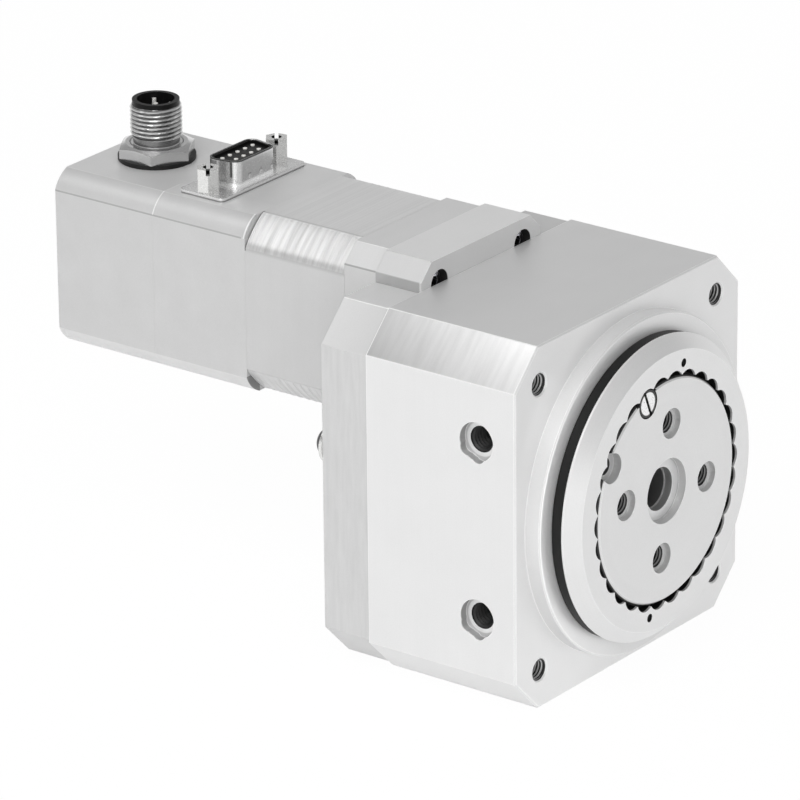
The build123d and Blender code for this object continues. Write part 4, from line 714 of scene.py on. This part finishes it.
def solid(name: str, parts: list[Surface], crease: float = 35.0) -> Item:
    """Makes one object from closed surfaces given in millimetres.

    Args:
        name: Name of the object.
        parts: Vertices and faces of each closed surface.
        crease: Angle in degrees past which an edge is sharp.

    Returns:
        The object, linked to the scene, at the origin.
    """
    offsets = np.cumsum([0] + [len(vertices) for vertices, _ in parts[:-1]])
    vertices = np.concatenate([vertices for vertices, _ in parts]) * MM
    faces = [face for (_, quads), offset in zip(parts, offsets) for face in (quads + offset).tolist()]
    mesh = bpy.data.meshes.new(name)
    mesh.from_pydata(vertices.tolist(), [], faces)
    mesh.shade_smooth()
    mesh.set_sharp_from_angle(angle=math.radians(crease))
    mesh.update()
    return placed(name, mesh)


@dataclass(frozen=True)
class Line:
    """A straight axis in space: a point on it and its direction, in millimetres."""

    point: Triple
    direction: Triple

    def place(self, radius: np.ndarray, angle: np.ndarray, along: np.ndarray) -> np.ndarray:
        """Points at a distance from the axis, an angle round it and a distance along it.

        A point is the axis point, plus along times the direction, plus radius times a unit vector across
        the axis that is turned by the angle.

        Args:
            radius: Distances from the axis.
            angle: Angles in radians.
            along: Distances along the axis.

        Returns:
            Array with one more dimension of three coordinates.
        """
        axis = np.asarray(self.direction, float)
        helper = np.array([0.0, 0.0, 1.0]) if abs(axis[2]) < 0.9 else np.array([1.0, 0.0, 0.0])
        first = np.cross(helper, axis)
        first /= np.linalg.norm(first)
        second = np.cross(axis, first)
        radius, angle, along = np.broadcast_arrays(radius, angle, along)
        return (np.asarray(self.point) + along[..., None] * axis + (radius * np.cos(angle))[..., None] * first
                + (radius * np.sin(angle))[..., None] * second)


@dataclass(frozen=True)
class Thread:
    """A screw thread, with its radius, the rise of one turn, and the liner's gap and wall in millimetres.

    The ridge's depth and lead-in are shares of the rise, and its flat and slope shares of half a turn.
    """

    outer: float
    pitch: float
    per_turn: int = 7
    sides: int = 44
    depth_share: float = 0.58
    flat: float = 0.14
    slope: float = 0.72
    lead: float = 0.6
    gap: float = 0.01
    wall: float = 0.06

    def ridge(self, turns: np.ndarray) -> np.ndarray:
        """Height of the ridge, 1 on a crest and 0 in a root.

        Within each turn the height falls in a straight line from the crest to the root and rises again,
        with a short flat on both.

        Args:
            turns: Positions counted in turns.

        Returns:
            The heights.
        """
        return np.clip((np.abs(2 * np.mod(turns, 1.0) - 1) - self.flat) / self.slope, 0, 1)

    def grid(self, start: float, end: float) -> tuple[np.ndarray, np.ndarray, np.ndarray]:
        """Places on a threaded surface.

        The position in turns is the place along the axis over the pitch, less the angle's share of a
        full circle.

        Args:
            start: Where the thread starts along the axis.
            end: Where it ends.

        Returns:
            Places along the axis, angles, and positions in turns for each angle and place.
        """
        along = np.linspace(start, end, int((end - start) / self.pitch * self.per_turn))
        angle = circle(self.sides)
        return along, angle, along[None, :] / self.pitch - angle[:, None] / (2 * np.pi)

    def liner(self, axis: Line, start: float, end: float) -> Surface:
        """Thread on the inside of a hole, as a sleeve that lines it.

        The inner radius is the hole's, less the ridge's height, which grows from nothing over the
        lead-in. The outer surface lies just inside the wall of the hole.

        Args:
            axis: The hole's axis, pointing into it.
            start: Where the thread starts along the axis.
            end: Where it ends.

        Returns:
            Vertices and faces.
        """
        along, angle, turns = self.grid(start, end)
        lead = np.clip((along - start) / (self.lead * self.pitch), 0, 1)[None, :]
        inner = self.outer - self.gap - self.depth_share * self.pitch * self.ridge(turns) * lead
        wall = np.full((self.sides, 2), self.outer + self.wall)
        radius = np.concatenate([inner, wall], 1)
        places = np.concatenate([along, [end, start]])
        return closed_grid(axis.place(radius, angle[:, None], places[None, :]))

    def stud(self, axis: Line, before: list[Pair], start: float, end: float, after: list[Pair],
             tip: float) -> Surface:
        """Thread on the outside of a sleeve, between two plain stretches of its closed profile.

        The radius is the thread's outer one, less what the ridge lacks of a full crest, and it is held
        under a cone at the end so that the last turn is chamfered.

        Args:
            axis: The sleeve's axis.
            before: Profile points (radius, along) before the thread.
            start: Where the thread starts.
            end: Where it ends.
            after: Profile points after it, back to the first one.
            tip: Length of the chamfer at the end.

        Returns:
            Vertices and faces.
        """
        along, angle, turns = self.grid(start, end)
        outside = self.outer - self.depth_share * self.pitch * (1 - self.ridge(turns))
        cone = self.outer - np.clip(along - (end - tip), 0, None)[None, :]
        outside = np.minimum(outside, cone)
        plain = np.array(before + after, float)
        first, last = plain[: len(before)], plain[len(before):]
        radius = np.concatenate([np.tile(first[:, 0], (self.sides, 1)), outside,
                                 np.tile(last[:, 0], (self.sides, 1))], 1)
        places = np.concatenate([first[:, 1], along, last[:, 1]])
        return closed_grid(axis.place(radius, angle[:, None], places[None, :]))


M5 = Thread(outer=2.5, pitch=0.8)
M6 = Thread(outer=3.0, pitch=1.0)
M12 = Thread(outer=6.0, pitch=1.0, per_turn=9, sides=88)


@dataclass
class Gearbox:
    """Housing and motor plate, with the threads in their holes."""

    hole_mouth: float = 0.35
    hole_depth: float = 12.0
    side_face: float = 42.5
    side_recess: float = 2.1
    side_depth: float = 9.0
    runout: float = 1.5

    def front_threads(self) -> Item:
        """Makes the threads of the four front holes.

        Returns:
            The piece.
        """
        right, top = FRONT_HOLE
        return solid("front_threads", [
            M5.liner(Line((x, 0, z), (0, 1, 0)), self.hole_mouth, self.hole_depth - self.runout)
            for x in (-right, right) for z in (-top, top)])

    def side_threads(self) -> Item:
        """Makes the threads of the four side holes.

        Returns:
            The piece.
        """
        y, z = SIDE_HOLE
        end = self.side_recess + self.side_depth - self.runout
        return solid("side_threads", [
            M6.liner(Line((side * self.side_face, y, up * z), (-side, 0, 0)), self.side_recess, end)
            for side in (-1, 1) for up in (-1, 1)])

    def build(self) -> None:
        """Dresses the nodes and adds the threads."""
        dress(HOUSING_ALUMINIUM, "gear_housing")
        dress(PLATE_ALUMINIUM, "motor_plate")
        dress(BRIGHT_STEEL, "earth_washer")
        dress(DARK_STEEL, "plate_screws", "earth_screw")
        dress(SCREW_STEEL_WITH_PAINTED_GLINTS, "motor_screws")
        dress(GROUND_STEEL, "locating_dowels", "front_bearing_outer_ring",
              "rear_bearing_outer_ring", "outer_spacer", "output_balls")
        dress(SPRING_STEEL, "bearing_circlip")
        dress(CAGE_PLASTIC, "output_ball_cages")
        add_piece(self.front_threads(), FRONT_THREADS_IN_PAINTED_SHADE, HOUSING)
        add_piece(self.side_threads(), SIDE_THREADS_IN_PAINTED_SHADE, HOUSING)


@dataclass
class RotaryPlate:
    """Hub, index ring and all that turns with them, with the threads of the four flange holes."""

    face: float = -10.2
    holes: int = 4
    recess: float = 1.6
    depth: float = 9.0
    runout: float = 0.8

    def threads(self) -> Item:
        """Makes the threads of the flange holes.

        X and Z of a hole are the circle's radius times the sine and the cosine of its clock angle.

        Returns:
            The piece.
        """
        parts = []
        for number in range(self.holes):
            clock = math.radians(FLANGE_TURN + 360 * number / self.holes)
            x, z = FLANGE_CIRCLE / 2 * math.sin(clock), FLANGE_CIRCLE / 2 * math.cos(clock)
            parts.append(M5.liner(Line((x, self.face, z), (0, 1, 0)), self.recess, self.depth - self.runout))
        return solid("flange_threads", parts)

    def build(self) -> None:
        """Dresses the nodes and adds the threads."""
        dress(TURNED_ALUMINIUM, "rotary_hub")
        dress(RING_ALUMINIUM, "index_ring")
        dress(LOCK_STEEL, "lock_screw")
        dress(BLACK_RUBBER, "face_seal")
        dress(GROUND_STEEL, "front_bearing_inner_ring", "rear_bearing_inner_ring", "inner_spacer",
              "output_gear")
        dress(DARK_STEEL, "gear_screws")
        add_piece(self.threads(), FLANGE_THREADS_IN_PAINTED_SHADE, PLATE)


@dataclass
class Motor:
    """Stepper motor: bells, laminated stack, rear cover and what turns inside."""

    centre: float = 27.0
    half: float = 21.15
    stack_start: float = 62.0
    stack_end: float = 90.0
    turn_radius: float = 25.65
    sheet: float = 0.5
    sheet_profile: tuple[float, ...] = (0.02, 0.1, 0.9, 0.98)
    stagger: float = 0.06
    ridge_pitch: float = 1.9
    ridge_height: float = 0.11
    lift: float = 0.02
    skin: float = 0.3
    end_gap: float = 0.01
    sides: int = 160
    crease: float = 20.0
    seed: int = 7

    def stack_outline(self) -> tuple[np.ndarray, np.ndarray, np.ndarray]:
        """Outline of the stack: a square whose corners are turned round.

        The distance from the axis at an angle is the square's, held under the turning radius.

        Returns:
            Angles, distances, and 1 where the turned radius rules and 0 on the flats.
        """
        angle = circle(self.sides)
        square = self.half / np.maximum(np.abs(np.cos(angle)), np.abs(np.sin(angle)))
        return angle, np.minimum(square, self.turn_radius), (square > self.turn_radius).astype(float)

    def laminations(self) -> Item:
        """Thin skin on the stack in which each sheet stands out a little differently at the corners.

        Every sheet has its own seeded height on top of uneven ridges, and a narrow gap goes in between two
        sheets. A ridge is half of 1 plus the cosine of a phase that runs on evenly and wanders by a seeded
        amount. The flats stand out evenly.

        Returns:
            The piece.
        """
        angle, distance, corner = self.stack_outline()
        sheets = int((self.stack_end - self.stack_start) / self.sheet)
        random = np.random.default_rng(self.seed)
        wander = np.cumsum(random.uniform(-0.5, 0.5, sheets))
        ridges = 0.5 + 0.5 * np.cos(2 * np.pi * self.sheet * np.arange(sheets) / self.ridge_pitch + wander)
        heights = random.uniform(0.0, self.stagger, sheets) + self.ridge_height * ridges
        starts = self.stack_start + self.sheet * np.arange(sheets)
        stations = (starts[:, None] + self.sheet * np.array(self.sheet_profile)).ravel()
        lift = (heights[:, None] * np.array([0.0, 1.0, 1.0, 0.0])).ravel()
        outer = distance[:, None] + self.lift + corner[:, None] * lift[None, :]
        radius = np.concatenate([outer, np.tile(distance[:, None] - self.skin, (1, 2))], 1)
        along = np.concatenate([stations, [self.stack_end - self.end_gap, self.stack_start + self.end_gap]])
        grid = Line((0, 0, self.centre), (0, 1, 0)).place(radius, angle[:, None], along[None, :])
        return solid("stack_laminations", [closed_grid(grid)], self.crease)

    def build(self) -> None:
        """Dresses the nodes and adds the skin of laminations."""
        dress(FRONT_BELL_ALUMINIUM, "motor_front_bell")
        dress(MOTOR_ALUMINIUM, "motor_rear_bell", "connector_cover")
        dress(STACK_STEEL, "stator_stack", "rotor_cores")
        dress(COPPER, "stator_windings")
        dress(MAGNET_GREY, "rotor_magnet")
        dress(DARK_STEEL, "tie_screws", "board_screws", "cover_screws")
        dress(GROUND_STEEL, "motor_front_bearing_outer_ring", "motor_rear_bearing_outer_ring",
              "motor_bearing_inner_rings", "motor_balls", "motor_shaft", "pinion")
        dress(SPRING_STEEL, "preload_washer")
        dress(TURNED_ALUMINIUM, "encoder_disc")
        dress(BOARD_GREEN, "encoder_board")
        dress(BLACK_PLASTIC, "encoder_sensor")
        add_piece(self.laminations(), STACK_STEEL, HOUSING)


@dataclass
class Connectors:
    """The two connectors on top of the motor: a nine-way D plug and a round threaded plug."""

    bore: float = 4.93
    foot_radius: float = 8.0
    foot: float = 44.45
    ceiling: float = 45.95
    undercut: float = 52.15
    undercut_radius: float = 5.4
    start: float = 53.95
    top: float = 61.35
    tip: float = 0.45

    def sleeve(self) -> Item:
        """Makes the threaded sleeve of the round plug, in place of the plain one.

        Returns:
            The piece.
        """
        before = [(self.bore, self.foot), (self.foot_radius, self.foot), (self.foot_radius, self.ceiling),
                  (M12.outer, self.ceiling), (M12.outer, self.undercut),
                  (self.undercut_radius, self.undercut), (self.undercut_radius, self.start)]
        after = [(self.bore, self.top)]
        axis = Line((*ROUND_PLUG, 0), (0, 0, 1))
        item = solid("threaded_sleeve", [M12.stud(axis, before, self.start, self.top, after, self.tip)])
        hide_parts("motor_plug_sleeve")
        return item

    def build(self) -> None:
        """Dresses the nodes and makes the threaded sleeve."""
        dress(TINNED_SHELL, "encoder_plug_shell")
        dress(POST_STEEL, "jackscrews")
        dress(BLACK_PLASTIC, "encoder_plug_insert", "motor_plug_core")
        dress(CONTACT_GOLD, "encoder_plug_pins", "motor_plug_pins")
        dress(BLACK_RUBBER, "motor_plug_seal")
        dress(NICKEL, "motor_plug_nut", "motor_plug_sleeve")
        add_piece(self.sleeve(), THREADED_NICKEL, HOUSING)


def direction(azimuth: float, elevation: float) -> Vector:
    """Unit vector from the object towards a camera or lamp.

    Its parts are the azimuth's sine and minus its cosine, both times the elevation's cosine, and the
    elevation's sine.

    Args:
        azimuth: Angle round the object in degrees, 0 in front of the plate and below 0 to its left.
        elevation: Angle above the floor in degrees.

    Returns:
        The vector.
    """
    turn, rise = math.radians(azimuth), math.radians(elevation)
    return Vector((math.sin(turn) * math.cos(rise), -math.cos(turn) * math.cos(rise), math.sin(rise)))


@dataclass(frozen=True)
class Lamp:
    """A square soft lamp that faces the object, in degrees, millimetres and watts.

    Its azimuth and elevation are as for direction, and mirrored tells whether glossy surfaces show it.
    """

    name: str
    azimuth: float
    elevation: float
    size: float
    power: float
    mirrored: bool = True
    distance: float = 1500.0
    target: Triple = (0.0, 60.0, 0.0)

    def hang(self) -> None:
        """Makes the lamp and puts it in its place."""
        back = direction(self.azimuth, self.elevation)
        data = bpy.data.lights.new(self.name, "AREA")
        data.size = self.size * MM
        data.energy = self.power
        item = placed(self.name, data)
        item.location = (Vector(self.target) + back * self.distance) * MM
        item.rotation_mode = "QUATERNION"
        item.rotation_quaternion = (-back).to_track_quat("-Z", "Y")
        item.visible_glossy = self.mirrored


LAMPS = (
    Lamp("key", -75, 50, 1100, 13),
    Lamp("front", -46, 7, 900, 5.5, mirrored=False),
    Lamp("fill", 125, 12, 900, 4.0, mirrored=False),
    Lamp("rim", -146.5, 47.7, 500, 0.9),
)


@dataclass
class Studio:
    """Plain pale floor, soft light and the camera of the photograph."""

    floor_level: float = -42.6
    floor_radius: float = 6000.0
    floor_sides: int = 96
    floor_rings: int = 5
    floor_colour: tuple[float, ...] = (0.85, 0.85, 0.85, 1)
    floor_roughness: float = 0.9
    floor_share: float = 0.96
    floor_glow: float = 1.01
    daylight: float = 0.40
    sweep_heights: Pair = (0.12, 0.42)
    sweep_strengths: Pair = (1.0, 0.36)
    azimuth: float = -52.84
    elevation: float = 21.79
    roll: float = -0.56
    target: Triple = (-83.08, 0.0, 46.1)
    distance: float = 1365.2
    lens: float = 295.1
    sensor: float = 36.0
    clip: Pair = (0.01, 100.0)

    def camera(self) -> None:
        """Makes the camera, which stands round the object at the azimuth and above it at the elevation.

        Level is the horizontal vector to the right. The picture's right and up are level and the cross
        product of back and level, turned by the roll.
        """
        azimuth, roll = math.radians(self.azimuth), math.radians(self.roll)
        back = direction(self.azimuth, self.elevation)
        level = Vector((math.cos(azimuth), math.sin(azimuth), 0))
        above = back.cross(level)
        right = level * math.cos(roll) + above * math.sin(roll)
        up = above * math.cos(roll) - level * math.sin(roll)
        data = bpy.data.cameras.new("camera")
        data.lens = self.lens
        data.sensor_width = self.sensor
        data.clip_start, data.clip_end = self.clip
        item = placed("camera", data)
        place = (Vector(self.target) + back * self.distance) * MM
        item.matrix_world = Matrix.Translation(place) @ Matrix((right, up, back)).transposed().to_4x4()
        bpy.context.scene.camera = item

    def floor_mesh(self) -> bpy.types.Mesh:
        """Round disc made of rings: radius times cosine and sine of the angle, with spokes in the middle.

        Returns:
            The mesh.
        """
        sides, rings = self.floor_sides, self.floor_rings
        angle = circle(sides)
        radius = self.floor_radius * np.linspace(0, 1, rings + 1)[1:]
        x, y = np.cos(angle)[:, None] * radius, np.sin(angle)[:, None] * radius
        rim = np.stack([x, y, np.full_like(x, self.floor_level)], -1).reshape(-1, 3)
        points = np.concatenate([rim, [[0.0, 0.0, self.floor_level]]]) * MM
        column, row = np.meshgrid(np.arange(sides), np.arange(rings - 1), indexing="ij")
        here, there = column * rings + row, ((column + 1) % sides) * rings + row
        quads = np.stack([here, here + 1, there + 1, there], -1).reshape(-1, 4)
        column = np.arange(sides)
        spokes = np.stack([np.full(sides, sides * rings), column * rings, ((column + 1) % sides) * rings], -1)
        mesh = bpy.data.meshes.new("floor")
        mesh.from_pydata(points.tolist(), [], quads.tolist() + spokes.tolist())
        return mesh

    def floor(self) -> None:
        """Makes a pale floor that shows white and keeps a trace of the object's shadow."""
        mesh = self.floor_mesh()
        graph = MaterialGraph("pale_floor")
        graph.fill(graph.shader, {"Base Color": self.floor_colour, "Roughness": self.floor_roughness})
        glow = graph.add("Emission", {"Color": WHITE, "Strength": self.floor_glow})
        share = graph.product(graph.seen(), self.floor_share)
        blend = graph.add("MixShader", {0: share, 1: graph.shader.outputs[0], 2: glow.outputs[0]})
        graph.fill(graph.tree.nodes["Material Output"], {"Surface": blend.outputs[0]})
        mesh.materials.append(graph.material)
        placed("floor", mesh)

    def world(self) -> None:
        """Makes a white sweep below a softer grey ceiling, and a plain grey for diffuse light."""
        world = bpy.data.worlds.new("studio")
        bpy.context.scene.world = world
        world.use_nodes = True
        graph = Graph(world.node_tree)
        graph.tree.nodes.clear()
        height = graph.split(graph.add("TexCoord").outputs["Generated"])[2]
        sweep = graph.between(height, self.sweep_heights, self.sweep_strengths, "SMOOTHSTEP")
        light = graph.add("Background", {"Color": WHITE, "Strength": self.daylight})
        backdrop = graph.add("Background", {"Color": WHITE, "Strength": sweep})
        blend = graph.add("MixShader", {0: graph.seen(), 1: light.outputs[0], 2: backdrop.outputs[0]})
        graph.add("OutputWorld", {"Surface": blend.outputs[0]})

    def build(self) -> None:
        """Makes floor, world, lamps and camera, and sets plain colour management."""
        bpy.context.scene.view_settings.view_transform = "Standard"
        self.floor()
        self.world()
        for lamp in LAMPS:
            lamp.hang()
            log.info("hung lamp %s", lamp.name)
        self.camera()


def main() -> None:
    """Builds every assembly in order."""
    logging.basicConfig(level=logging.INFO, format="%(message)s")
    for assembly in (Gearbox(), RotaryPlate(), Motor(), Connectors(), Studio()):
        log.info("building %s", type(assembly).__name__)
        assembly.build()


if __name__ == "__main__":
    main()
